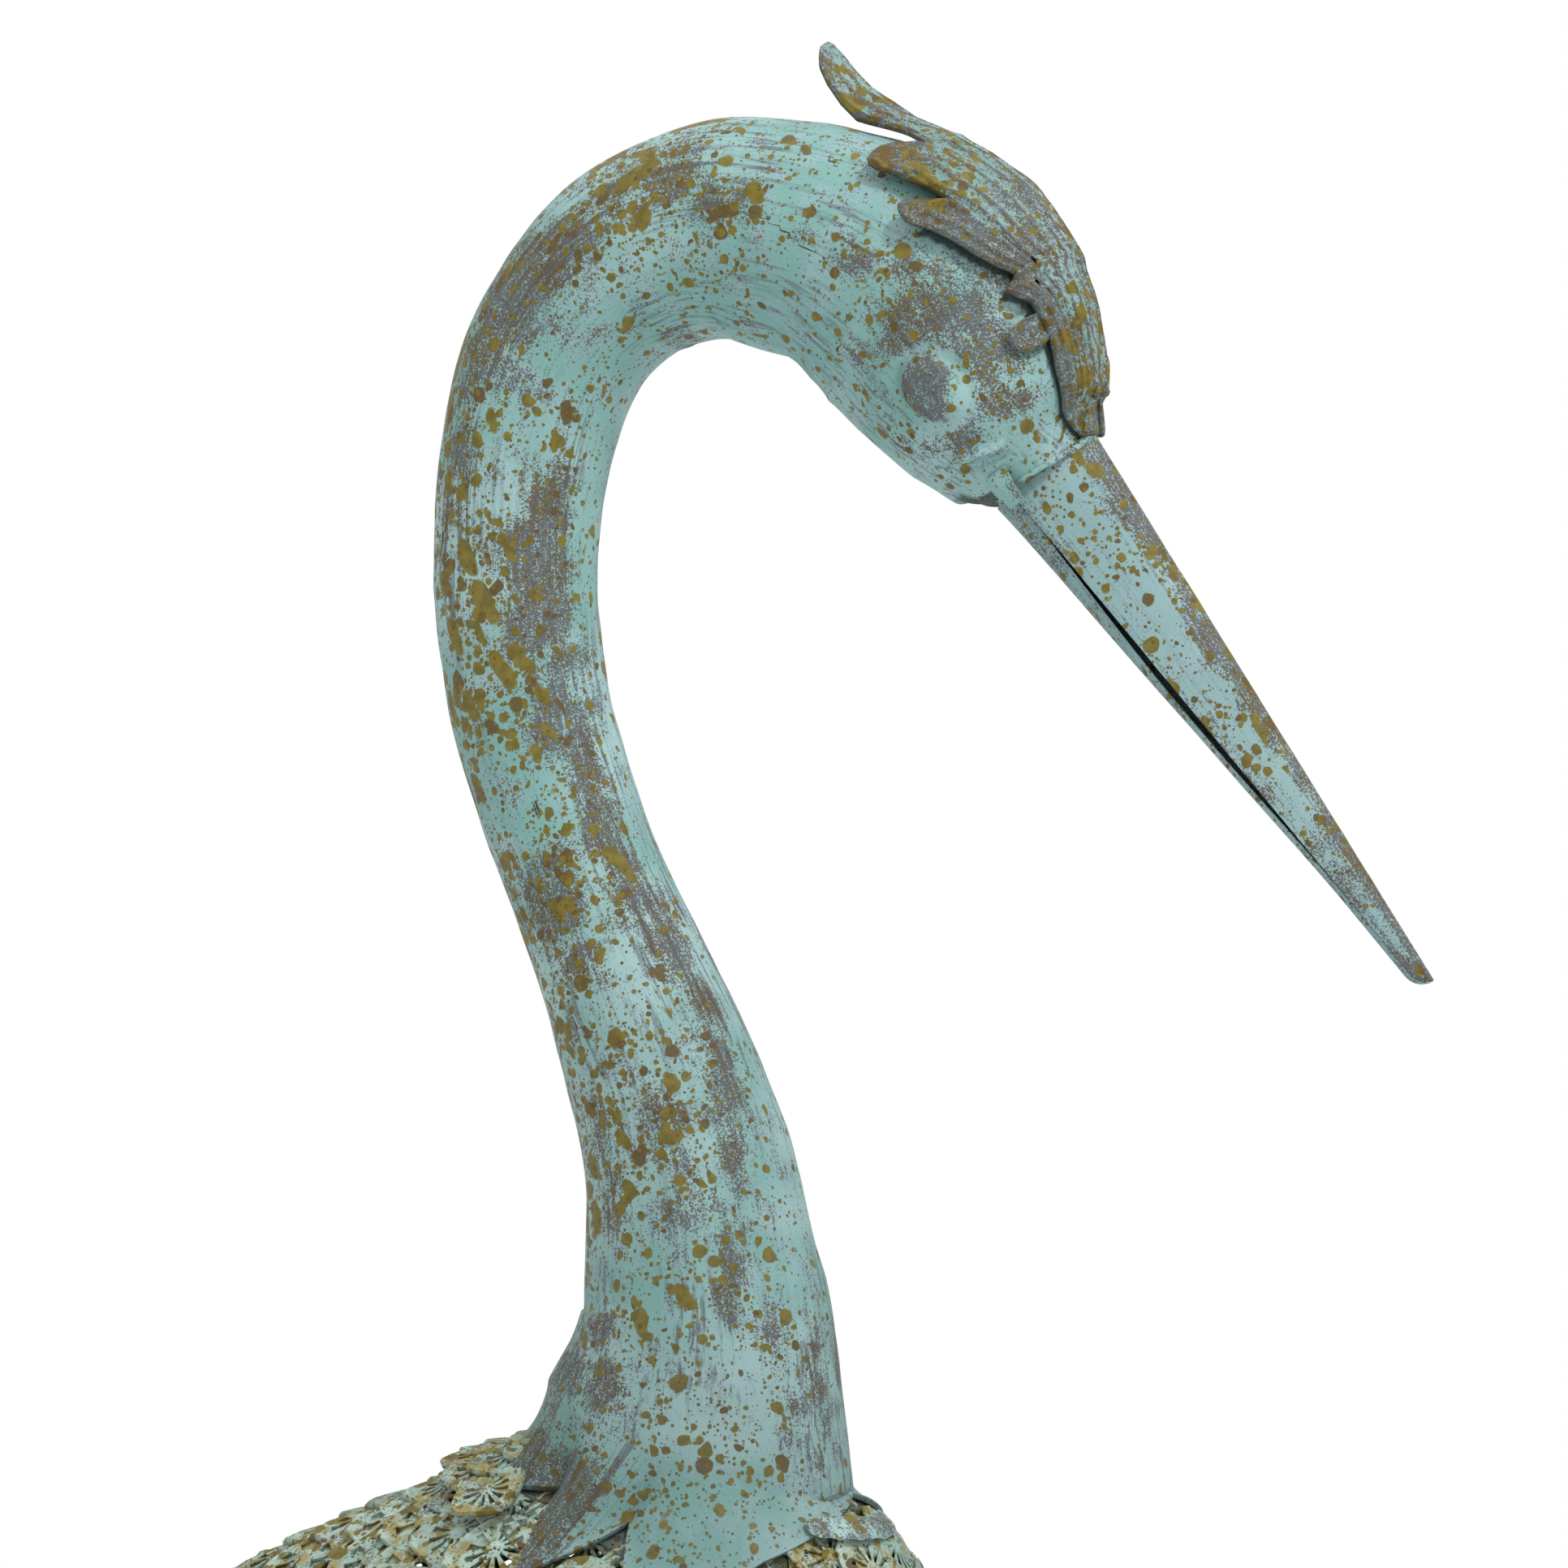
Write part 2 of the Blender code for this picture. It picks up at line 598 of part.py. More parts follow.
def build_leg(name, side, material):
    """Feathered thigh, thin shank, ankle knob and tarsus down to the foot."""
    count = 12
    hip_x = HIP_X
    sign = -side
    floor = BASE_THICKNESS + FOOT_HEIGHT + 2 * GAP
    knee = BODY_CENTRE_Z - 1.86 * BODY_HALF_HEIGHT

    def ring(x, y, z, radius):
        return [(x + radius * math.cos(2 * math.pi * j / count),
                 y + radius * math.sin(2 * math.pi * j / count), z)
                for j in range(count)]

    rings = []
    for radius in (0.5 * LEG_RADIUS, LEG_RADIUS):
        flat = ring(hip_x, sign * LEG_SIDE, 0.0, radius)
        rings.append([(p[0], p[1], belly_height(p[0], p[1], 0.5)) for p in flat])
    for share, radius in ((0.35, 0.86), (0.65, 0.6), (0.85, 0.38)):
        top_z = BODY_CENTRE_Z - 1.03 * BODY_HALF_HEIGHT
        z = top_z + (knee - top_z) * share
        rings.append(ring(hip_x - 6 * share, sign * LEG_SIDE, z, LEG_RADIUS * radius))
    ankle_x = hip_x - 26.0
    foot_x = hip_x + 2.0
    rings.append(ring(hip_x - 7.0, sign * LEG_SIDE, knee, SHANK_RADIUS * 1.1))
    rings.append(ring(ankle_x, sign * (LEG_SIDE + 3), ANKLE_HEIGHT + 14, SHANK_RADIUS))
    rings.append(ring(ankle_x, sign * (LEG_SIDE + 3), ANKLE_HEIGHT + 6, SHANK_RADIUS * 1.45))
    rings.append(ring(ankle_x, sign * (LEG_SIDE + 3), ANKLE_HEIGHT - 6, SHANK_RADIUS * 1.45))
    rings.append(ring(ankle_x + 1, sign * (LEG_SIDE + 3), ANKLE_HEIGHT - 15,
                      SHANK_RADIUS * 0.95))
    rings.append(ring(foot_x, sign * FOOT_SIDE, floor + 12, SHANK_RADIUS * 0.92))
    rings.append(ring(foot_x, sign * FOOT_SIDE, floor, SHANK_RADIUS * 1.2))
    top = (hip_x, sign * LEG_SIDE, belly_height(hip_x, LEG_SIDE, 0.5))
    return closed_rings(name, top, rings, (foot_x, sign * FOOT_SIDE, floor), material)


def build_foot(name, side, material):
    """Three front toes and a hind toe spread from a hub on the base."""
    sign = -side
    x0 = HIP_X + 2.0
    y0 = sign * FOOT_SIDE
    low = BASE_THICKNESS + GAP
    outline = []
    for angle, length in ((-34, 0.92), (0, 1.0), (34, 0.92), (180, 0.0)):
        reach = TOE_LENGTH * length if length else HIND_TOE_LENGTH
        slim = 26.0 / reach
        for turn, radius in ((-15, 0.36 * reach + 6), (-5 * slim - 2, reach - 9), (0, reach),
                             (5 * slim + 2, reach - 9), (15, 0.36 * reach + 6)):
            outline.append((angle + turn, radius))
        outline.append((angle + (17 if 0 <= angle < 30 or angle < 0 else 73), 14.0))

    def ring(scale, heights, least=0.0):
        points = []
        for angle, radius in outline:
            far = radius * scale if scale else least
            height = heights[0] + (heights[1] - heights[0]) * min(1.0, radius / TOE_LENGTH)
            points.append((x0 + far * math.cos(angle * RAD),
                           y0 + far * math.sin(angle * RAD), low + height))
        return points

    rings = [ring(1.0, (0, 0)), ring(1.0, (4.0, 2.0)), ring(0.94, (9.0, 4.5)),
             ring(0.0, (FOOT_HEIGHT - GAP, FOOT_HEIGHT - GAP), 9.5)]
    return closed_rings(name, (x0, y0, low), rings,
                        (x0, y0, BASE_THICKNESS + FOOT_HEIGHT), material, smooth=False)


def build_base(material):
    """Low oval plate with a small bevel."""
    count = 32
    rings = []
    for inset, z in ((1.5, 0.0), (0.0, 1.5), (0.0, BASE_THICKNESS - 1.5),
                     (1.5, BASE_THICKNESS)):
        rings.append([((BASE_LENGTH / 2 - inset) * math.cos(2 * math.pi * j / count),
                       (BASE_WIDTH / 2 - inset) * math.sin(2 * math.pi * j / count), z)
                      for j in range(count)])
    return closed_rings("base_plate", (0, 0, 0), rings, (0, 0, BASE_THICKNESS),
                        material, smooth=False)


for old in list(bpy.data.objects):
    bpy.data.objects.remove(old, do_unlink=True)
COLLECTION = bpy.data.collections.new("crane_garden_statue")
bpy.context.scene.collection.children.link(COLLECTION)

turquoise = make_material("painted_turquoise", (0.33, 0.50, 0.47, 1.0), 0.25, 0.55)
crest_paint = make_material("painted_crest", (0.27, 0.36, 0.33, 1.0), 0.25, 0.6)
beak_paint = make_material("painted_beak", (0.30, 0.46, 0.50, 1.0), 0.25, 0.5)
feather_paint = make_material("painted_feathers", (0.26, 0.33, 0.24, 1.0), 0.3, 0.6)
leg_paint = make_material("painted_legs", (0.20, 0.30, 0.28, 1.0), 0.3, 0.6)

build_neck(turquoise)
build_crest(crest_paint)
build_eye("eye_right", 1, crest_paint)
build_eye("eye_left", -1, crest_paint)
build_beaks(beak_paint)
build_breast_tab(turquoise)
build_body(feather_paint)
build_wing("wing_right", 1, feather_paint)
build_wing("wing_left", -1, feather_paint)
build_tail(feather_paint)
build_leg("leg_right", 1, leg_paint)
build_leg("leg_left", -1, leg_paint)
build_foot("foot_right", 1, leg_paint)
build_foot("foot_left", -1, leg_paint)
build_base(leg_paint)
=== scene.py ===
"""Looks of the crane garden statue: hammered sheet, pierced castings and paint.

The forms repeat the working sizes of the part's source, in millimetres, at a
finer resolution. They become metres where the meshes are made.
"""

import math
import random

import bmesh
import bpy
import numpy as np
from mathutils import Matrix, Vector, noise


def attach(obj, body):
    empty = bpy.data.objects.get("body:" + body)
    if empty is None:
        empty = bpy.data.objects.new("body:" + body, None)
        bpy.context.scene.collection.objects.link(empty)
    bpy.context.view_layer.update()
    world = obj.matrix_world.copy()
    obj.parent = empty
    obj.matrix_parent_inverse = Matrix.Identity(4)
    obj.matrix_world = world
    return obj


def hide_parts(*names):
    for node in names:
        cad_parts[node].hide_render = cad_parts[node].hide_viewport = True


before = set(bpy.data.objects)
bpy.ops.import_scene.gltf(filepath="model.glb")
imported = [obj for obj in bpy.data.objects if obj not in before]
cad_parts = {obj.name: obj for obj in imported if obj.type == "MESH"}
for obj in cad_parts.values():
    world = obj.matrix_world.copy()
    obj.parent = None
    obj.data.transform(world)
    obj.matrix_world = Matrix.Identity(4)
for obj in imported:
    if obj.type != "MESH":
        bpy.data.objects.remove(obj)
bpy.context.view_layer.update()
random.seed(11)

MM = 0.001
RAD = math.pi / 180.0

# Sizes of the part, in millimetres
BODY_CENTRE_X = 31.4
BODY_CENTRE_Z = 632.7
BODY_LENGTH = 441.0
BODY_HALF_HEIGHT = 102.0
BODY_HALF_WIDTH = 85.0
BREAST_REACH = 134.6
BODY_SLOPE = 0.18
BODY_SEAT = 2.5
SHEET = 2.0
GAP = 0.3
COLLAR_TILT = 20.8 * RAD
COLLAR_ANGLE = 27.4
CREST_THICKNESS = 2.2
CREST_CLEARANCE = 1.7
PLUME_LIFT = 25.0
EYE_LENGTH = 17.0
EYE_WIDTH = 12.0
EYE_HEIGHT = 3.0
CHEEK_HEIGHT = 3.0
BEAK_LENGTH = 232.0
BEAK_DROOP = 57.0 * RAD
BEAK_DEPTH = 35.0
BEAK_HALF_WIDTH = 12.0
BEAK_TIP_DEPTH = 4.7
BEAK_TIP_HALF_WIDTH = 2.2
LOWER_BEAK_DEPTH = 8.0
HIP_X = BODY_CENTRE_X - 26.0
LEG_SIDE = 36.0
LEG_RADIUS = 30.0
SHANK_RADIUS = 6.0
ANKLE_HEIGHT = 275.0
FOOT_SIDE = 44.0
FOOT_HEIGHT = 14.0
TOE_LENGTH = 78.0
HIND_TOE_LENGTH = 40.0
BASE_LENGTH = 340.0
BASE_WIDTH = 250.0
BASE_THICKNESS = 10.0

# Neck and head stations: x and z from the body's centre, half depth, half width
NECK = np.array([
    (42.3, 105.5, 60.8, 55.5), (44.7, 128.9, 52.6, 49.0), (44.6, 150.0, 47.4, 44.5),
    (42.4, 168.1, 44.3, 41.5), (37.5, 204.2, 39.5, 37.0), (26.4, 239.6, 35.7, 33.5),
    (11.5, 275.8, 32.1, 30.5), (-3.0, 308.4, 30.1, 28.5), (-16.6, 342.7, 30.1, 28.0),
    (-26.6, 373.5, 30.5, 28.0), (-31.6, 404.0, 30.8, 28.5), (-33.0, 434.6, 31.4, 29.0),
    (-30.3, 465.0, 32.3, 30.0), (-22.6, 495.3, 33.5, 31.0), (-9.7, 519.4, 34.7, 32.0),
    (9.9, 538.6, 37.0, 33.0), (32.6, 549.4, 39.3, 34.0), (55.8, 553.2, 41.2, 35.0),
    (79.8, 549.3, 43.3, 36.5), (95.6, 545.2, 44.1, 37.5), (113.5, 536.8, 48.0, 38.5),
    (132.3, 523.4, 51.2, 38.5), (146.5, 504.1, 48.0, 37.0), (161.6, 480.1, 39.2, 32.0),
    (169.4, 467.0, 30.5, 24.0), (177.4, 458.8, 21.3, 16.0),
])
HEAD_END = len(NECK) - 1.0

# Skirt hem: angle round the collar, angle round the hem, angle down the body
HEM = [
    (0, 0, 29.5), (10, 14, 33), (30, 40, 40), (50, 62, 50), (60, 70, 56),
    (70, 77, 43), (80, 82, 33), (90, 100, 47), (100, 107, 55), (110, 111, 46),
    (120, 120, 31), (130, 140, 39), (140, 146, 45.5), (150, 152, 31),
    (170, 172, 40), (180, 180, 44),
]

# Crest: place along the head where a share of its width ends, and its side edge
CREST_ENDS = [
    (0.0, 17.82), (0.05, 17.83), (0.09, 17.9), (0.125, 18.04), (0.15, 18.25), (0.17, 18.7),
    (0.20, 19.3), (0.25, 19.66), (0.31, 19.86), (0.37, 19.96), (0.405, 19.95), (0.43, 19.84),
    (0.48, 19.68), (0.54, 19.58), (0.62, 19.54), (0.67, 19.58), (0.70, 19.72), (0.715, 20.0),
    (0.73, 20.7), (0.75, 20.74), (0.78, 20.66), (0.84, 20.50), (0.90, 20.38), (0.95, 20.36),
    (0.98, 20.42), (1.0, 20.56),
]
CREST_EDGE = [
    (20.3, 58), (20.5, 61.5), (20.65, 62.5), (20.9, 59), (21.3, 53), (21.55, 47.5),
    (21.72, 42), (21.80, 41), (21.88, 47), (21.95, 48.5), (22.05, 45), (22.2, 39),
    (22.6, 36), (23.1, 38), (23.9, 38), (24.3, 35), (24.6, 30), (24.8, 24), (24.9, 17),
]
CREST_FRONT = 24.85
# How far the middle of the plume stands off the head along its place
PLUME = [
    (17.8, 26.0), (17.9, 24.0), (18.05, 20.5), (18.3, 15.0), (18.5, 10.8), (18.68, 8.0),
    (18.85, 6.0), (19.04, 4.6), (19.3, 3.2), (19.6, 2.2), (20.0, 1.4), (20.4, 1.0), (21.0, 0.0),
]
EYE_PLACE = 22.45
EYE_ANGLE = 43.5
CHEEK_PLACE = 22.42
CHEEK_ANGLE = 99.5

# Millimetres that one place along the neck or head counts for in its marks
RUB_STEP = 30.0
HEAD_STEP = 27.0
RIDGE_STEP = 22.0
CHEEK_STEP = 20.0
# Rubbed patches on the neck and head: place, turn, half length, half width, strength
RUBS = [
    (16.6, 120, 14, 10, 0.60), (15.9, 120, 12, 10, 0.60), (17.2, 100, 10, 8, 0.55),
    (17.6, 102, 9, 6, 0.50), (19.1, 94, 10, 5, 0.35), (20.2, 94, 10, 6, 0.50),
    (14.4, 114, 14, 14, 0.80), (13.8, 118, 14, 14, 0.85), (13.2, 118, 14, 12, 0.70),
    (15.0, 112, 14, 10, 0.60), (13.0, 94, 8, 10, 0.40), (12.1, 114, 12, 10, 0.60),
    (11.3, 116, 10, 8, 0.40), (11.6, 44, 12, 8, 0.80), (10.8, 54, 14, 10, 0.95),
    (10.1, 50, 14, 10, 0.90), (9.5, 34, 12, 9, 0.70), (8.7, 30, 12, 8, 0.60),
    (8.0, 44, 14, 6, 0.75), (7.5, 44, 12, 6, 0.80), (6.7, 40, 10, 8, 0.70),
    (6.0, 30, 12, 7, 0.85), (6.9, 98, 12, 12, 0.70), (6.3, 102, 10, 9, 0.50),
    (5.4, 24, 14, 5, 0.60), (4.9, 28, 12, 6, 0.60), (4.5, 34, 12, 7, 0.60),
    (3.9, 46, 14, 4, 0.70), (3.0, 54, 20, 3, 0.75), (2.3, 58, 10, 3, 0.60),
    (4.5, 118, 10, 8, 0.45), (4.4, 76, 12, 8, 0.45), (3.7, 70, 10, 7, 0.40),
    (3.8, 114, 10, 6, 0.40), (1.7, 124, 14, 8, 0.60), (0.7, 114, 14, 8, 0.70),
    (0.5, 138, 12, 10, 0.70), (1.0, 28, 12, 8, 0.50), (1.4, 12, 14, 6, 0.50),
    (1.9, 34, 8, 6, 0.35), (0.5, 20, 10, 5, 0.40), (15.3, 40, 8, 10, 0.35),
    (15.7, 8, 10, 8, 0.40), (21.6, 102, 16, 14, 0.85), (21.5, 86, 9, 9, 0.80),
    (22.5, 112, 12, 10, 0.75), (22.4, 78, 8, 8, 0.60), (22.0, 64, 8, 6, 0.35),
    (20.9, 104, 6, 6, 0.60), (23.1, 106, 9, 9, 0.85),
    (8.8, 50, 14, 9, 0.75), (23.3, 80, 9, 8, 0.70), (23.0, 62, 7, 5, 0.45), (22.7, 52, 6, 5, 0.40),
]


# Forms shared with the part

def spline(points, place):
    """Smooth curve through rows of points, read at places counted in points."""
    points = np.asarray(points, float)
    padded = np.vstack([2 * points[0] - points[1], points, 2 * points[-1] - points[-2]])
    place = np.clip(np.asarray(place, float), 0.0, len(points) - 1 - 1e-9)
    i = place.astype(int)
    t = (place - i)[..., None]
    a, b, c, d = padded[i], padded[i + 1], padded[i + 2], padded[i + 3]
    return 0.5 * (2 * b + (c - a) * t + (2 * a - 5 * b + 4 * c - d) * t ** 2
                  + (3 * b - a - 3 * c + d) * t ** 3)


def along(pairs, x):
    """Value at x on straight lines through pairs."""
    pairs = np.asarray(pairs, float)
    return np.interp(x, pairs[:, 0], pairs[:, 1])


def smooth(low, high, x):
    """Soft step from 0 at low to 1 at high; low may be the larger."""
    t = np.clip((x - low) / (high - low), 0.0, 1.0)
    return t * t * (3 - 2 * t)


def bell(x, middle, width):
    """1 at the middle, falling to 0 a few widths away."""
    return np.exp(-((x - middle) / width) ** 2)


def circle(count):
    """Angles of the points of a ring."""
    return np.linspace(0, 2 * math.pi, count + 1)[:-1]


def fold(turn):
    """Turns of both sides as 0 to 180."""
    return np.where(turn <= 180, turn, 360 - turn)


def unit(vectors):
    return vectors / np.linalg.norm(vectors, axis=-1, keepdims=True)


def stack(x, y, z):
    return np.stack(np.broadcast_arrays(x, y, z), -1).astype(float)


def body_x(share):
    return BODY_CENTRE_X + BREAST_REACH - share * BODY_LENGTH


def body_profile(x):
    """Share of the body's full width and height at x, and the height of its middle."""
    u = np.clip((BODY_CENTRE_X + BREAST_REACH - x) / BODY_LENGTH, 0.0, 1.0)
    middle = BODY_CENTRE_Z - 2.7 + BODY_SLOPE * (x - BODY_CENTRE_X + 11.4)
    return np.abs(np.sin(math.pi * u ** 0.62)) ** 0.8, middle


def on_body(direction):
    """Points of the body's surface in directions from its centre."""
    low = np.zeros(direction.shape[:-1])
    high = low + 500.0
    for _ in range(36):
        reach = (low + high) / 2
        x = BODY_CENTRE_X + direction[..., 0] * reach
        y = direction[..., 1] * reach
        z = BODY_CENTRE_Z + direction[..., 2] * reach
        share, middle = body_profile(x)
        share = np.maximum(share, 1e-6)
        inside = ((y / (BODY_HALF_WIDTH * share)) ** 2
                  + ((z - middle) / (BODY_HALF_HEIGHT * share)) ** 2) < 1.0
        low = np.where(inside, reach, low)
        high = np.where(inside, high, reach)
    return stack(BODY_CENTRE_X + direction[..., 0] * low, direction[..., 1] * low,
                 BODY_CENTRE_Z + direction[..., 2] * low)


def collar_direction(turn, down):
    """Directions by the turn round the neck's axis and the angle down from it."""
    ct, st = np.cos(turn * RAD), np.sin(turn * RAD)
    cd, sd = np.cos(down * RAD), np.sin(down * RAD)
    nx, nz = math.sin(COLLAR_TILT), math.cos(COLLAR_TILT)
    return stack(cd * nx + sd * ct * nz, -sd * st, cd * nz - sd * ct * nx)


def body_at(turn, down, distance=0.0):
    """Points over the body by collar angles, a distance off its surface."""
    turn, down, distance = np.broadcast_arrays(turn, down, distance)
    away = collar_direction(turn, down)
    point = on_body(away)
    a = on_body(collar_direction(turn, down + 0.6)) - point
    b = on_body(collar_direction(turn + 0.6 / np.sin(np.maximum(down, 3.0) * RAD), down)) - point
    normal = np.cross(a, b)
    normal /= np.linalg.norm(normal, axis=-1, keepdims=True) + 1e-12
    normal *= np.sign(np.sum(normal * away, -1, keepdims=True))
    return point + normal * distance[..., None]


def flank_at(x, angle, distance=0.0):
    """Points over the body by x and the angle from its top line to the right."""
    share, middle = body_profile(x)
    share = np.maximum(share, 0.01)
    s, c = np.sin(angle * RAD), np.cos(angle * RAD)
    half_width, half_height = BODY_HALF_WIDTH * share, BODY_HALF_HEIGHT * share
    ny, nz = s / half_width, c / half_height
    size = np.hypot(ny, nz)
    return stack(x, -(half_width * s + distance * ny / size),
                 middle + half_height * c + distance * nz / size)


def neck_axis(place):
    """Middle, half depth, half width and direction of the neck and head at a place."""
    place = np.clip(np.asarray(place, float), 0.0, HEAD_END)
    here = spline(NECK, place)
    step = spline(NECK, np.minimum(place + 0.02, HEAD_END)) - spline(NECK, place - 0.02)
    size = np.hypot(step[..., 0], step[..., 1])
    tx, tz = step[..., 0] / size, step[..., 1] / size
    keep = np.maximum(0.0, 1.0 - place / 2.5)
    tx = tx * (1 - keep) + math.sin(COLLAR_TILT) * keep
    tz = tz * (1 - keep) + math.cos(COLLAR_TILT) * keep
    keep = np.maximum(0.0, (place - HEAD_END + 2.0) / 2.0)
    tx = tx * (1 - keep) + math.cos(BEAK_DROOP) * keep
    tz = tz * (1 - keep) - math.sin(BEAK_DROOP) * keep
    size = np.hypot(tx, tz)
    return (BODY_CENTRE_X + here[..., 0], BODY_CENTRE_Z + here[..., 1], here[..., 2],
            here[..., 3], tx / size, tz / size)


def neck_at(place, turn, distance=0.0):
    """Points on the neck and head: turn 0 throat, 90 right side, 180 top line."""
    x, z, deep, wide, tx, tz = neck_axis(place)
    c, s = np.cos(turn * RAD), np.sin(turn * RAD)
    size = np.hypot(c / deep, s / wide)
    reach = -(deep * c + distance * c / deep / size)
    return stack(x - tz * reach, -(wide * s + distance * s / wide / size), z + tx * reach)


def hem_at(turn):
    """Turn and angle down of the skirt's hem below each turn round the neck."""
    out = along([(h[0], h[1]) for h in HEM], fold(turn))
    down = along([(h[0], h[2]) for h in HEM], fold(turn))
    return np.where(turn <= 180, out, 360 - out), down


# Mesh making

def lumps(points, size, seed=0.0):
    """Smooth noise between -1 and 1 with lumps of a size, one value a point."""
    flat = points.reshape(-1, 3) / size + seed
    values = [noise.noise(Vector(p)) for p in flat.tolist()]
    return np.array(values).reshape(points.shape[:-1])


def grid_normals(grid, wrap):
    """Normals of a grid of points; its columns meet where it wraps."""
    rows = np.gradient(grid, axis=0)
    if wrap:
        columns = np.roll(grid, -1, 1) - np.roll(grid, 1, 1)
    else:
        columns = np.gradient(grid, axis=1)
    normal = np.cross(columns, rows)
    return normal / (np.linalg.norm(normal, axis=-1, keepdims=True) + 1e-9)


def plate(top, bottom, keep=None, wrap=False):
    """Points and faces of a thin plate between two grids. Faces where keep is
    false are pierced through, with walls round them."""
    rows, columns = top.shape[:2]
    index = np.arange(rows * columns).reshape(rows, columns)
    if wrap:
        index = np.hstack([index, index[:, :1]])
    wide = index.shape[1] - 1
    if keep is None:
        keep = np.ones((rows - 1, wide), bool)
    half = rows * columns
    a, b, c, d = index[:-1, :-1], index[:-1, 1:], index[1:, 1:], index[1:, :-1]
    faces = [np.stack([a, b, c, d], -1)[keep], np.stack([a, d, c, b], -1)[keep] + half]
    blank = np.zeros((1, wide), bool)
    before, after = np.vstack([blank, keep]), np.vstack([keep, blank])
    p, q = index[:, :-1], index[:, 1:]
    faces.append(np.stack([q, p, p + half, q + half], -1)[after & ~before])
    faces.append(np.stack([p, q, q + half, p + half], -1)[before & ~after])
    if wrap:
        left, right = np.roll(keep, 1, 1), keep
        p, q = index[:-1, :-1], index[1:, :-1]
    else:
        blank = np.zeros((rows - 1, 1), bool)
        left, right = np.hstack([blank, keep]), np.hstack([keep, blank])
        p, q = index[:-1], index[1:]
    faces.append(np.stack([p, q, q + half, p + half], -1)[right & ~left])
    faces.append(np.stack([q, p, p + half, q + half], -1)[left & ~right])
    points = np.vstack([top.reshape(-1, 3), bottom.reshape(-1, 3)])
    return points, [f for group in faces for f in group.tolist()]


def tube(grid, start, end):
    """Points and faces of closed rings capped by two points."""
    rows, columns = grid.shape[:2]
    index = 1 + np.arange(rows * columns).reshape(rows, columns)
    index = np.hstack([index, index[:, :1]])
    a, b, c, d = index[:-1, :-1], index[:-1, 1:], index[1:, 1:], index[1:, :-1]
    faces = np.stack([a, b, c, d], -1).reshape(-1, 4).tolist()
    last = rows * columns + 1
    faces += [(0, int(q), int(p)) for p, q in zip(index[0][:-1], index[0][1:])]
    faces += [(last, int(p), int(q)) for p, q in zip(index[-1][:-1], index[-1][1:])]
    return np.vstack([[start], grid.reshape(-1, 3), [end]]), faces


def both_faces(top, bottom):
    """One mark for a plate's top points, then one for its bottom points."""
    return np.concatenate([np.ravel(top), np.ravel(bottom)])


def part(shape, rub=0.3, gold=0.35, shade=0.0, flow=None):
    """One closed form with its paint marks, one value a point."""
    points, faces = shape
    count = len(points)
    marks = {}
    for name, value in (("rub", rub), ("gold", gold), ("shade", shade)):
        value = np.asarray(value, float).reshape(-1)
        if value.size == 1:
            value = np.full(count, value[0])
        elif value.size * 2 == count:
            value = np.concatenate([value, value])
        elif value.size + 2 == count:
            value = np.concatenate([value[:1], value, value[-1:]])
        marks[name] = value
    if flow is None:
        flow = points
    else:
        flow = flow.reshape(-1, 3)
        if len(flow) * 2 == count:
            flow = np.vstack([flow, flow])
        elif len(flow) + 2 == count:
            flow = np.vstack([flow[:1], flow, flow[-1:]])
    marks["flow"] = flow
    return points, faces, marks


def make_piece(name, parts, paint_slot, node=None, material=None, sharp=40.0):
    """An object of closed forms, in metres, that rides with the statue. Its slot
    names its paint, unless it has a material of its own."""
    points = np.vstack([p[0] for p in parts]) * MM
    faces, start = [], 0
    for p in parts:
        faces += [[i + start for i in face] for face in p[1]]
        start += len(p[0])
    mesh = bpy.data.meshes.new(name)
    mesh.from_pydata(points.tolist(), [], faces)
    for mark in ("rub", "gold", "shade"):
        values = np.concatenate([p[2][mark] for p in parts])
        layer = mesh.attributes.new(mark, "FLOAT", "POINT")
        layer.data.foreach_set("value", np.clip(values, 0.0, 1.0).astype(np.float32))
    flow = np.vstack([p[2]["flow"] for p in parts]) * MM
    layer = mesh.attributes.new("flow", "FLOAT_VECTOR", "POINT")
    layer.data.foreach_set("vector", flow.astype(np.float32).reshape(-1))
    shell = bmesh.new()
    shell.from_mesh(mesh)
    bmesh.ops.recalc_face_normals(shell, faces=shell.faces)
    shell.to_mesh(mesh)
    shell.free()
    mesh.polygons.foreach_set("use_smooth", [True] * len(mesh.polygons))
    mesh.set_sharp_from_angle(angle=sharp * RAD)
    mesh.materials.append(material or PAINTS[paint_slot])
    item = bpy.data.objects.new(name, mesh)
    bpy.context.scene.collection.objects.link(item)
    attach(item, "root")
    if node:
        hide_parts(node)


# Paint

def srgb(red, green, blue):
    """A colour from its 0 to 255 values."""
    def linear(value):
        value = value / 255.0
        return value / 12.92 if value <= 0.04045 else ((value + 0.055) / 1.055) ** 2.4
    return (linear(red), linear(green), linear(blue), 1.0)


# How far drops stray from an even spread, and how sharp their edges are
DROP_SCATTER = 0.82
DROP_EDGE = 18.0


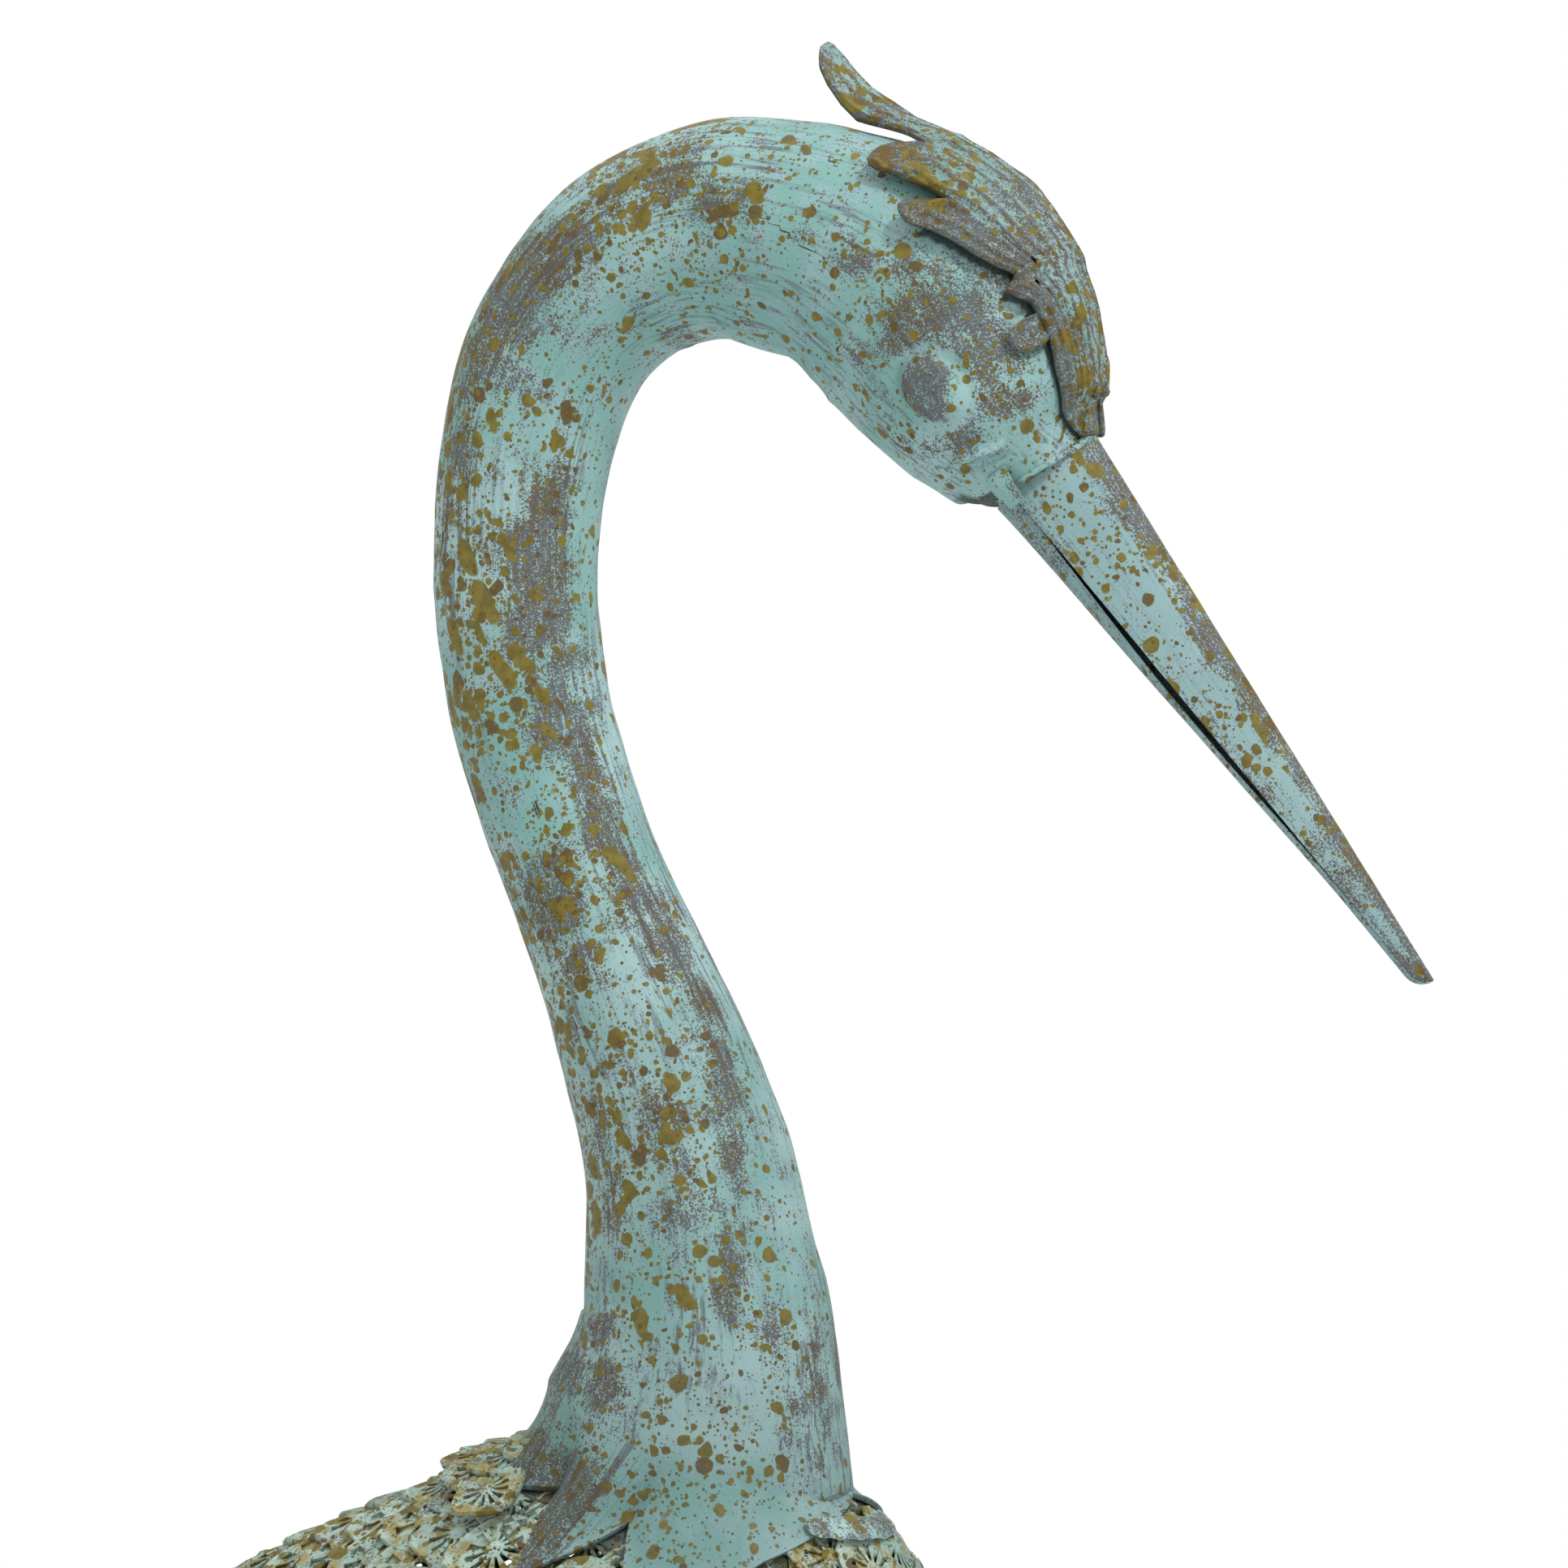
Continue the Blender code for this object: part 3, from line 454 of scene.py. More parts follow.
class Nodes:
    """Short calls for a material's nodes; a value is a socket or a number."""

    def __init__(self, name):
        self.material = bpy.data.materials.new(name)
        self.material.use_nodes = True
        self.tree = self.material.node_tree
        self.shader = self.tree.nodes["Principled BSDF"]

    def put(self, socket, value):
        if isinstance(value, bpy.types.NodeSocket):
            self.tree.links.new(value, socket)
        else:
            socket.default_value = value

    def math(self, operation, a, b=0.0, c=0.0, clamp=False):
        node = self.tree.nodes.new("ShaderNodeMath")
        node.operation = operation
        node.use_clamp = clamp
        for socket, value in zip(node.inputs, (a, b, c)):
            self.put(socket, value)
        return node.outputs[0]

    def times(self, a, b):
        return self.math("MULTIPLY", a, b)

    def plus(self, a, b):
        return self.math("ADD", a, b)

    def scaled(self, value, factor, shift):
        return self.math("MULTIPLY_ADD", value, factor, shift)

    def mix(self, share, a, b):
        node = self.tree.nodes.new("ShaderNodeMix")
        node.data_type = "RGBA"
        self.put(node.inputs[0], share)
        self.put(node.inputs[6], a)
        self.put(node.inputs[7], b)
        return node.outputs[2]

    def step(self, value, low, high):
        node = self.tree.nodes.new("ShaderNodeMapRange")
        node.interpolation_type = "SMOOTHSTEP"
        self.put(node.inputs["Value"], value)
        self.put(node.inputs["From Min"], low)
        self.put(node.inputs["From Max"], high)
        return node.outputs["Result"]

    def noise(self, where, scale, detail=3.0, roughness=0.5):
        """A noise node; its Fac and Color are both in use."""
        node = self.tree.nodes.new("ShaderNodeTexNoise")
        self.put(node.inputs["Vector"], where)
        node.inputs["Scale"].default_value = scale
        node.inputs["Detail"].default_value = detail
        node.inputs["Roughness"].default_value = roughness
        return node

    def fac(self, where, scale, detail=3.0, roughness=0.5):
        return self.noise(where, scale, detail, roughness).outputs["Fac"]

    def mark(self, name, output="Fac"):
        node = self.tree.nodes.new("ShaderNodeAttribute")
        node.attribute_name = name
        return node.outputs[output]

    def object_places(self):
        return self.tree.nodes.new("ShaderNodeTexCoord").outputs["Object"]

    def bump(self, height, distance, strength=1.0):
        node = self.tree.nodes.new("ShaderNodeBump")
        node.inputs["Strength"].default_value = strength
        node.inputs["Distance"].default_value = distance
        self.put(node.inputs["Height"], height)
        self.put(self.shader.inputs["Normal"], node.outputs["Normal"])

    def stretch(self, where, scale=(1.0, 1.0, 1.0), turn=(0.0, 0.0, 0.0),
                shift=(0.0, 0.0, 0.0)):
        node = self.tree.nodes.new("ShaderNodeMapping")
        self.put(node.inputs["Vector"], where)
        node.inputs["Location"].default_value = shift
        node.inputs["Rotation"].default_value = turn
        node.inputs["Scale"].default_value = scale
        return node.outputs["Vector"]

    def warp(self, where, source, amount):
        """Places moved about by a noise's colour."""
        node = self.tree.nodes.new("ShaderNodeVectorMath")
        node.operation = "MULTIPLY_ADD"
        self.put(node.inputs[0], source.outputs["Color"])
        node.inputs[1].default_value = (amount, amount, amount)
        self.put(node.inputs[2], where)
        return node.outputs["Vector"]

    def drops(self, where, scale, amount, biggest, power=2.0, least=0.08):
        """Round drops of many sizes: their mask and a random value for each."""
        node = self.tree.nodes.new("ShaderNodeTexVoronoi")
        self.put(node.inputs["Vector"], where)
        node.inputs["Scale"].default_value = scale
        node.inputs["Randomness"].default_value = DROP_SCATTER
        pick = self.tree.nodes.new("ShaderNodeSeparateColor")
        self.put(pick.inputs[0], node.outputs["Color"])
        radius = self.math("POWER", pick.outputs["Red"], power)
        radius = self.scaled(radius, biggest - least, least)
        shown = self.math("LESS_THAN", pick.outputs["Green"], amount)
        radius = self.times(radius, shown)
        inside = self.math("SUBTRACT", radius, node.outputs["Distance"])
        mask = self.math("MULTIPLY", inside, DROP_EDGE, clamp=True)
        return self.times(mask, shown), pick.outputs["Blue"]


def paint(name, light, mid, cool, streaks=0.75, rubbing=0.0, splash=1.0, grain=1.0,
          ochre=0.0):
    """Two-tone turquoise paint, rubbed back to grey-brown, spattered with gold and
    brown drops and darkened by painted shade. The marks on each mesh say where."""
    n = Nodes(name)
    where = n.object_places()
    flow = n.mark("flow", "Vector")
    rub, gold, shade = n.mark("rub"), n.mark("gold"), n.mark("shade")

    middle = n.fac(where, 85.0, 3.0, 0.55)
    fine = n.fac(where, 1250.0, 5.0, 0.72)
    tiny = n.fac(where, 2400.0, 2.0, 0.6)
    colour = n.mix(n.step(n.fac(where, 16.0, 2.0), 0.38, 0.62), light, mid)
    colour = n.mix(n.times(n.step(middle, 0.45, 0.70), 0.55), colour, cool)
    # Pale patches placed by noise: painted soft highlights of the sheet's dents
    pale_highlight = n.step(n.fac(where, 24.0, 2.0), 0.56, 0.72)
    colour = n.mix(n.times(pale_highlight, 0.45), colour, PALE_HIGHLIGHT)

    brush = n.fac(n.stretch(flow, (22.0, 520.0, 520.0)), 1.0, 3.0, 0.6)
    brush_place = n.fac(n.stretch(flow, (9.0, 45.0, 45.0), shift=(3.0, 1.0, 2.0)), 1.0, 2.0)
    streak = n.times(n.step(brush, 0.49, 0.62), n.step(brush_place, 0.42, 0.62))
    streak = n.times(streak, n.times(n.step(rub, 0.03, 0.26), streaks))
    colour = n.mix(streak, colour, STREAK)

    wear = n.scaled(middle, 1.6, -0.8)
    wear = n.plus(wear, n.scaled(rub, 1.05, rubbing))
    wear = n.math("MINIMUM", wear, 0.90)
    wear = n.plus(wear, n.scaled(fine, 3.2, -1.6))
    wear = n.plus(wear, n.scaled(brush, 0.9, -0.45))
    worn = n.step(wear, 0.50, 0.86)
    rubbed = n.mix(n.step(n.fac(where, 60.0, 3.0), 0.42, 0.6), BARE_GREY, BARE_BROWN)
    colour = n.mix(n.times(worn, 0.92), colour, rubbed)

    if ochre > 0.0:
        stain = n.step(n.fac(where, 120.0, 4.0, 0.65), 0.46, 0.62)
        colour = n.mix(n.times(stain, ochre), colour, OCHRE)

    bent = n.warp(where, n.noise(where, 140.0, 2.0), 0.0040)
    long_way = n.warp(flow, n.noise(where, 150.0, 2.0), 0.004)
    long_way = n.stretch(n.stretch(long_way, turn=(0.0, 0.0, 0.45)), (0.40, 1.0, 1.0))
    crowd = n.step(n.fac(n.stretch(where, shift=(0.3, 0.1, 0.2)), 34.0, 2.0), 0.36, 0.64)
    gold = n.times(gold, n.scaled(crowd, 0.9, 0.5))
    layers = [
        n.drops(bent, 86.0, n.scaled(gold, 1.1 * splash, -0.75), 0.50, 1.0),
        n.drops(long_way, 112.0, n.scaled(gold, 1.0 * splash, -0.40), 0.52, 1.0),
        n.drops(bent, 140.0, n.times(gold, 0.72 * splash), 0.50, 1.1),
        n.drops(bent, 220.0, n.times(gold, 0.85 * splash), 0.50, 1.1),
        n.drops(bent, 370.0, n.scaled(gold, 0.70 * splash, 0.05), 0.50, 1.1),
        n.drops(where, 700.0, n.scaled(gold, 0.45 * splash, 0.08), 0.50, 1.0),
    ]
    height = None
    golden = n.mix(n.step(n.fac(where, 260.0, 3.0), 0.35, 0.65), GOLD_DARK, GOLD)
    for mask, pick in layers:
        brown = n.plus(pick, n.times(rub, 0.30))
        brown = n.step(brown, 0.86, 1.0)
        drop = n.mix(brown, golden, DROP_BROWN)
        colour = n.mix(n.times(mask, 0.96), colour, drop)
        height = mask if height is None else n.math("MAXIMUM", height, mask)

    speck, _ = n.drops(where, 900.0, 0.10, 0.30, 1.2)
    colour = n.mix(n.times(speck, 0.7), colour, SPECK)
    # Painted shade: darkens the colour where the shade mark is high
    colour = n.mix(n.times(shade, 0.9), colour, PAINTED_SHADE)
    n.put(n.shader.inputs["Base Color"], colour)

    rough = n.scaled(worn, 0.16, 0.46)
    rough = n.scaled(height, -0.10, rough)
    rough = n.scaled(fine, 0.14, rough)
    n.put(n.shader.inputs["Roughness"], rough)
    n.shader.inputs["Metallic"].default_value = 0.0
    n.shader.inputs["Specular IOR Level"].default_value = 0.42

    relief = n.times(fine, 0.35 * grain)
    relief = n.plus(relief, n.times(tiny, 0.12 * grain))
    relief = n.plus(relief, n.times(middle, 0.9 * grain))
    relief = n.plus(relief, n.times(height, 0.32))
    n.bump(n.scaled(worn, -0.12, relief), 0.0006, 0.8)
    return n.material


# Colours that all the paints share
# The pale colour below paints soft highlights
PALE_HIGHLIGHT = srgb(176, 208, 210)
STREAK = srgb(97, 100, 108)
BARE_GREY = srgb(93, 88, 90)
BARE_BROWN = srgb(92, 77, 60)
OCHRE = srgb(164, 147, 70)
GOLD_DARK = srgb(110, 98, 22)
GOLD = srgb(132, 117, 30)
DROP_BROWN = srgb(100, 80, 32)
SPECK = srgb(62, 62, 62)
# The dark colour below paints shade
PAINTED_SHADE = srgb(38, 46, 42)
COOL = srgb(166, 192, 201)
PAINTS = {
    "painted_turquoise": paint("painted_turquoise_look", srgb(167, 204, 203),
                               srgb(132, 181, 176), COOL),
    "painted_crest": paint("painted_crest_look", srgb(146, 180, 180), srgb(124, 162, 160), COOL,
                           rubbing=0.16, splash=1.25, grain=1.4),
    "painted_beak": paint("painted_beak_look", srgb(158, 192, 192), srgb(146, 182, 184), COOL,
                          streaks=0.35, splash=0.9),
    "painted_feathers": paint("painted_feathers_look", srgb(194, 220, 206), srgb(150, 184, 172),
                              srgb(150, 180, 176), streaks=0.2, rubbing=-0.20, splash=1.1,
                              grain=1.8, ochre=0.85),
    "painted_legs": paint("painted_legs_look", srgb(136, 168, 164), srgb(110, 146, 144), COOL,
                          streaks=0.5, rubbing=0.10, grain=1.2),
}


# Neck and head

def patch_marks(place, turn, wide, patches):
    """Soft spots of rub on both sides of the neck."""
    rub = np.zeros(place.shape)
    for spot, angle, length, width, strength in patches:
        far = ((place - spot) * RUB_STEP / length) ** 2
        far = far + ((fold(turn) - angle) * RAD * wide / width) ** 2
        rub = np.maximum(rub, strength * np.exp(-0.55 * far))
    return rub


# Soft ridges of the head's sheet, hollows where the height is negative: place and
# turn of both ends, width, height
NECK_RIDGES = [
    ((23.55, 64), (23.86, 90), 2.4, 2.6), ((23.85, 66), (24.12, 88), 2.4, -2.0),
    ((21.9, 58), (22.3, 50), 3.0, 0.9), ((22.7, 42), (23.0, 56), 3.0, 0.7),
    ((21.6, 128), (22.3, 134), 3.0, -0.7),
]


def build_neck():
    """The skirt over the body, the neck and the head as one hammered sheet. It
    gives back the points of its outside above the skirt."""
    turns = np.arange(0.0, 360.0, 2.0)
    out, down = hem_at(turns)
    back = 2.0 * np.maximum(0.0, fold(turns) / 60.0 - 2.0)
    tip = smooth(38.0, 56.0, down) * 0.9
    rings, places = [], []
    for share in (0.2, 0.45, 0.7, 0.85, 0.95, 1.0):
        rings.append(body_at(out, down * share, GAP + tip * share ** 4))
        places.append(-share)
    face = GAP + SHEET + back
    root = body_at(turns, COLLAR_ANGLE + 0 * turns, face)
    rise = neck_at(0.0, turns) - root
    for share in np.linspace(1.0, 0.0, 26)[:-1]:
        point = body_at(turns + (out - turns) * share,
                        COLLAR_ANGLE + (down - COLLAR_ANGLE) * share, face + tip * share ** 4)
        rings.append(point + rise * (1.0 - share) ** 2)
        places.append(-share)
    for place in list(np.arange(0.0, 17.0, 0.07)) + list(np.arange(17.0, 25.001, 0.042)):
        rings.append(neck_at(place, turns))
        places.append(place)
    grid = np.array(rings)
    place = np.array(places)[:, None] + 0 * turns[None, :]
    turn = turns[None, :] + 0 * place
    _, _, deep, wide, _, _ = neck_axis(place)
    folded = fold(turn)

    # Dents of the sheet, the cheek's boss in its groove, and ridges
    relief = 0.75 * lumps(grid, 34.0) + 0.28 * lumps(grid, 13.0, 5.0)
    relief *= smooth(-0.9, 0.4, place)
    side = np.abs(folded - (180 - CHEEK_ANGLE))
    ahead = (place - CHEEK_PLACE) * CHEEK_STEP
    far = np.hypot(ahead, side * RAD * wide * 1.05)
    relief += 1.3 * CHEEK_HEIGHT * (1 - smooth(6.6, 9.8, far)) * (1 - 0.12 * lumps(grid, 5.0))
    relief -= bell(far, 11.2, 1.6)
    # The boss's rub: its upper side worn brown, and a paler unworn ring round it as a painted rim
    # highlight
    upper = smooth(9.0, 2.0, ahead + (CHEEK_ANGLE + folded - 180) * 0.4)
    boss_wear_and_highlight = (0.75 * upper - 0.15) * (1 - smooth(6.5, 9.0, far)) - 0.6 * bell(far, 10.8, 1.7)

    def ridge(start, end, width, height):
        """A soft ridge along a line between two places on each side."""
        px, py = place * RIDGE_STEP, folded * RAD * wide
        ax, ay = start[0] * RIDGE_STEP, start[1] * RAD * wide
        bx, by = end[0] * RIDGE_STEP, end[1] * RAD * wide
        t = np.clip(((px - ax) * (bx - ax) + (py - ay) * (by - ay))
                    / ((bx - ax) ** 2 + (by - ay) ** 2), 0, 1)
        gap = np.hypot(px - ax - t * (bx - ax), py - ay - t * (by - ay))
        return height * bell(gap, 0.0, width)

    for line in NECK_RIDGES:
        relief += ridge(*line)
    relief -= 5.0 * smooth(24.0, 24.12, place) * (1 - smooth(21, 26, folded))
    relief += ridge((15.3, 20), (15.6, 50), 5.0, 0.7)
    normal = grid_normals(grid, True)
    x, z, _, _, _, _ = neck_axis(12.0)
    sample = int(np.argmin(np.abs(place[:, 0] - 12.0)))
    if np.sum(normal[sample, 0] * (grid[sample, 0] - stack(x, 0.0, z))) < 0:
        normal = -normal
    grid = grid + normal * relief[..., None]

    # Rubbed in patches, on parts of the skirt and on the cheek's boss, with a painted highlight
    # ring
    rub = patch_marks(place, turn, wide, RUBS)
    skirt = smooth(0.0, -0.45, place)
    brown = np.clip(bell(folded, 108, 16.0) + 0.8 * bell(folded, 145, 14.0), 0, 1)
    rub = np.maximum(rub, 1.25 * skirt * brown)
    rub += 0.26 - 0.08 * smooth(17.5, 18.5, place) + boss_wear_and_highlight
    rub -= 0.22 * smooth(2.0, 0.0, place) * smooth(97, 84, folded) * smooth(10, 25, folded)
    # Gold drops, most on the neck's side and back, fewest on its throat
    gold = 0.50 + 0.60 * smooth(55, 105, folded) * smooth(7.5, 9.5, place) * smooth(18.5, 16, place)
    gold += 0.35 * smooth(60, 100, folded) * smooth(-1.0, 3.0, place) * smooth(9.5, 7.5, place)
    gold += 0.22 * smooth(25, 60, folded) * smooth(2.5, 5.5, place) * smooth(12.0, 9.5, place)
    gold -= 0.06 * smooth(17.0, 18.5, place)
    gold *= 0.35 + 0.65 * smooth(0, 50, folded)
    # Painted shade: dark by the beak's corner, low on the neck, round cheek and eyes,
    # under the crest and the skirt, and in a band across the throat
    shade = 0.95 * smooth(23.95, 24.15, place) * (1 - smooth(34, 42, folded))
    corner = place - 24.45 - 0.35 * smooth(34, 72, folded)
    shade = np.maximum(shade, 0.95 * smooth(0.0, 0.08, corner) * (1 - smooth(66, 74, folded)))
    shade = np.maximum(shade, 0.3 * bell(far, 10.0, 0.9) * (place < CHEEK_PLACE))
    shade = np.maximum(shade, 0.19 * smooth(8.0, 3.0, place) + 0.15 * smooth(2.4, 0.6, place))
    far = np.hypot((place - EYE_PLACE) * HEAD_STEP / 6.4,
                   (folded - 180 + EYE_ANGLE) * RAD * wide / 8.8)
    shade = np.maximum(shade, 0.55 * bell(far, 1.05, 0.09))
    under_crest = 180 - folded < along(CREST_EDGE, place) + 1.8
    shade = np.maximum(shade, 0.95 * under_crest * (place > 20.7))
    shade = np.maximum(shade, np.array([0.8] * 6 + [0.0] * (len(places) - 6))[:, None])
    shade = np.maximum(shade, 0.25 * bell(place, 15.5, 0.5) * smooth(40, 10, folded))
    steps = np.linalg.norm(np.diff(grid.mean(1), axis=0), axis=-1)
    length = np.concatenate([[0.0], np.cumsum(steps)])[:, None]
    radius = (deep + wide) / 2
    flow = stack(length, radius * np.cos(turn * RAD), radius * np.sin(turn * RAD))
    x, z, _, _, _, _ = neck_axis(HEAD_END)
    shape = tube(grid, body_at(0.0, 0.5, GAP), np.array([float(x), 0.0, float(z)]))
    make_piece("neck_sheet", [part(shape, rub, gold, shade, flow)], "painted_turquoise",
               "neck_and_head")
    return grid[place[:, 0] > 0].reshape(-1, 3)


# Cracks in the paint: places and turns along each, and its half width
CRACKS = [
    ([(17.8, 99), (18.2, 95), (18.7, 92), (19.1, 89), (19.5, 88), (19.9, 86)], 0.28),
    ([(18.85, 136), (18.95, 134), (19.1, 132)], 0.45),
    ([(7.95, 82), (7.85, 85), (7.78, 87)], 0.7),
    ([(7.9, 87), (7.8, 84)], 0.4),
    ([(19.0, 108), (19.1, 106.5), (19.25, 106)], 0.2),
    ([(11.35, 128), (11.1, 130), (10.9, 132)], 0.5),
]


def wire(centre, up, across, size, count):
    """A round wire of a changing size along a line; up and across span its section."""
    around = circle(count)
    grid = centre[:, None] + size[:, None, None] * (
        up[:, None] * np.cos(around)[None, :, None]
        + across[:, None] * np.sin(around)[None, :, None])
    return tube(grid, centre[0], centre[-1])


def build_cheek_tabs():
    """Bent tabs of sheet over the beak's corners, and the rough weld round the
    end of the head."""
    x, z, _, _, tx, tz = [float(v) for v in neck_axis(HEAD_END)]
    ahead = np.array([tx, 0.0, tz])
    parts = []
    for side in (1, -1):
        rows = np.linspace(0, 1, 22)[:, None]
        columns = np.linspace(-1, 1, 15)[None, :]
        place = 24.35 + 0.65 * rows + 0 * columns
        turn = 76 + columns * (10 - 3 * rows ** 3) - 6 * rows
        turn = turn if side > 0 else 360 - turn
        lift = 0.4 + 3.4 * np.sin(rows * math.pi * 0.75) + 1.5 * (1 - columns ** 2) * rows
        past = ahead * (7.0 * rows ** 2 + 0 * columns)[..., None]
        top = neck_at(place, turn, lift + 1.2) + past
        top = top + 0.3 * lumps(top, 5.0)[..., None] * [0, -side, 0]
        bottom = neck_at(place, turn, lift - 0.8) + past
        rub = 0.12 + 0.6 * smooth(0.0, 0.8, columns) + 0 * rows
        parts.append(part(plate(top, bottom), rub, 0.3))
    turn = np.linspace(40, 320, 240)
    raised = 1.7 * smooth(140, 160, fold(turn)) - 0.5
    seat = 24.97 - 0.07 * smooth(146, 160, fold(turn))
    centre = neck_at(seat, turn, raised) + ahead * 0.5
    up = neck_at(seat, turn, raised + 1.0) + ahead * 0.5 - centre
    size = 1.2 + 0.5 * lumps(centre, 4.0, 6.0) + 0.3 * lumps(centre, 2.0, 1.0)
    size = size + 0.5 * smooth(146, 160, fold(turn))
    bead = wire(centre, up, np.broadcast_to(ahead, up.shape), size, 10)
    parts.append(part(bead, rub=0.35, gold=0.3))
    make_piece("cheek_tabs", parts, "painted_turquoise")


def build_cracks(surface):
    """Thin dark cracks and chips in the paint, on the neck's own points."""
    n = Nodes("crack_look")
    dirt = n.fac(n.object_places(), 900.0, 3.0)
    n.put(n.shader.inputs["Base Color"], n.mix(dirt, srgb(30, 32, 30), srgb(84, 80, 70)))
    n.put(n.shader.inputs["Roughness"], n.scaled(dirt, 0.3, 0.6))
    n.bump(dirt, 0.0003)
    parts = []
    for path, thick in CRACKS:
        t = np.linspace(0, len(path) - 1, 16 * (len(path) - 1))
        line = spline(path, t)
        line[:, 1] += 0.5 * lumps(np.stack([t * 9, t * 0, t * 0], -1), 2.0)
        points = neck_at(line[:, 0], line[:, 1], 0.1)
        centre = np.array([surface[np.argmin(((surface - point) ** 2).sum(-1))]
                           for point in points])
        fresh = np.append(True, np.abs(np.diff(centre, axis=0)).sum(-1) > 0)
        size = thick * (0.35 + 0.65 * np.abs(np.sin(t * 2.1 + 0.6)))
        size = size * np.sqrt(np.clip(np.sin(math.pi * t / t[-1]) + 0.05, 0, 1))
        ahead = unit(np.gradient(points, axis=0))[fresh]
        across = unit(np.cross(ahead, [0.0, -1.0, 0.2]))
        up = np.cross(across, ahead)
        parts.append(part(wire(centre[fresh], across, up * 0.4, size[fresh], 5)))
    make_piece("hairline_cracks", parts, "painted_turquoise", material=n.material)


neck_face = build_neck()
build_cheek_tabs()
build_cracks(neck_face)


# Crest and eyes

def build_crest():
    """Cast fan of lobes: veins, rolled rims, lifted tips and a curled plume."""
    shares = np.linspace(-1, 1, 161)
    rows = 1 - np.linspace(1, 0, 120) ** 1.25
    side, row = np.meshgrid(shares, rows)
    share = np.abs(side)
    end = along(CREST_ENDS, share)
    place = CREST_FRONT + (end - CREST_FRONT) * row
    angle = share * along(CREST_EDGE, place)
    angle *= 1 + 0.20 * smooth(20.8, 19.5, place) * smooth(0.30, 0.70, share)
    turn = 180 - np.sign(side) * angle
    stalk = smooth(0.42, 0.20, share)
    curl = along(PLUME, place) * stalk
    curl = curl + 0.44 * (turn - 180) * stalk * smooth(20.0, 18.9, place)
    lift = np.maximum(curl, 4.2 * row ** 4 * share ** 0.5)
    vein = 2.4 * bell(row, 0.60, 0.26) * (1 - 0.7 * share)
    bottom = neck_at(place, turn, CREST_CLEARANCE + lift + 0.9 * vein)
    ribs = np.zeros(share.shape)
    for line, bend in ((0.10, 0.05), (0.27, 0.05), (0.43, 0.04), (0.57, 0.03), (0.68, 0.02),
                       (0.86, -0.03)):
        near = (share - line - bend * np.sin(row * 5.0)) / 0.026
        ribs += 1.2 * np.exp(-near ** 2) * smooth(0.10, 0.25, row) * smooth(1.0, 0.9, row)
    rim = 0.9 * smooth(0.93, 0.985, share) + 0.8 * smooth(0.93, 0.98, row)
    for notch in (0.72, 0.39):
        rim += 0.8 * bell(np.abs(share - notch), 0.045, 0.022) * smooth(0.62, 0.82, row)
    knobs = np.zeros(share.shape)
    for spot, height in ((18.9, 0.4), (20.0, 0.8), (20.9, 0.7), (21.6, 1.1), (22.3, 0.9),
                         (22.9, 1.1), (23.4, 1.2), (23.9, 0.8)):
        knobs += height * bell(place - spot, 0.6 * share, 0.13) * smooth(0.5, 0.1, share)
    cast = 0.35 * lumps(bottom, 9.0, 3.0) + 0.25 * lumps(bottom, 4.0, 8.0)
    thick = CREST_THICKNESS + vein + ribs + rim + knobs + cast
    edge = smooth(0.0, 0.025, 1 - share) * smooth(0.0, 0.02, 1 - row) * smooth(0.0, 0.02, row)
    thick = thick * (0.6 + 0.4 * edge)
    top = neck_at(place, turn, CREST_CLEARANCE + lift + thick)
    patches = lumps(bottom, 20.0, 2.0)
    rub = 0.34 + 0.50 * patches + 0.80 * smooth(0.66, 0.86, share) * smooth(0.0, 0.3, row)
    rub += 0.55 * smooth(0.5, 1.0, ribs) + 0.45 * smooth(0.92, 0.98, row) - 0.35 * curl / PLUME_LIFT
    rub += 0.30 * smooth(0.30, 0.10, row)
    gold = 1.0 - 0.25 * np.clip(rub, 0, 1)
    # Painted shade on the crest's underside, in the gap over the head
    shade = both_faces(0 * rub, 0 * rub + 0.9)
    make_piece("crest_casting", [part(plate(top, bottom), rub, gold, shade)], "painted_crest",
               "crest", sharp=55.0)


def build_scrolls():
    """Curled wires and a bead on the forehead, where the beak begins."""
    parts = []
    for side in (1, -1):
        for path, thick in (
                ([(24.84, 23), (24.7, 19), (24.45, 14), (24.15, 9), (23.9, 5)], 1.7),
                ([(23.62, 10), (23.7, 7), (23.78, 5)], 2.3)):
            t = np.linspace(0, len(path) - 1, 30)
            line = spline(path, t)
            turn = 180 - side * line[:, 1]
            centre = neck_at(line[:, 0], turn, CREST_CLEARANCE + 3.0)
            up = neck_at(line[:, 0], turn, CREST_CLEARANCE + 4.0) - centre
            across = unit(np.cross(up, np.gradient(centre, axis=0)))
            taper = thick * (0.55 + 0.45 * np.sin(np.linspace(0.2, math.pi - 0.2, 30)))
            parts.append(part(wire(centre, up, across, taper, 10), rub=0.55, gold=0.5))
    make_piece("forehead_scrolls", parts, "painted_crest")


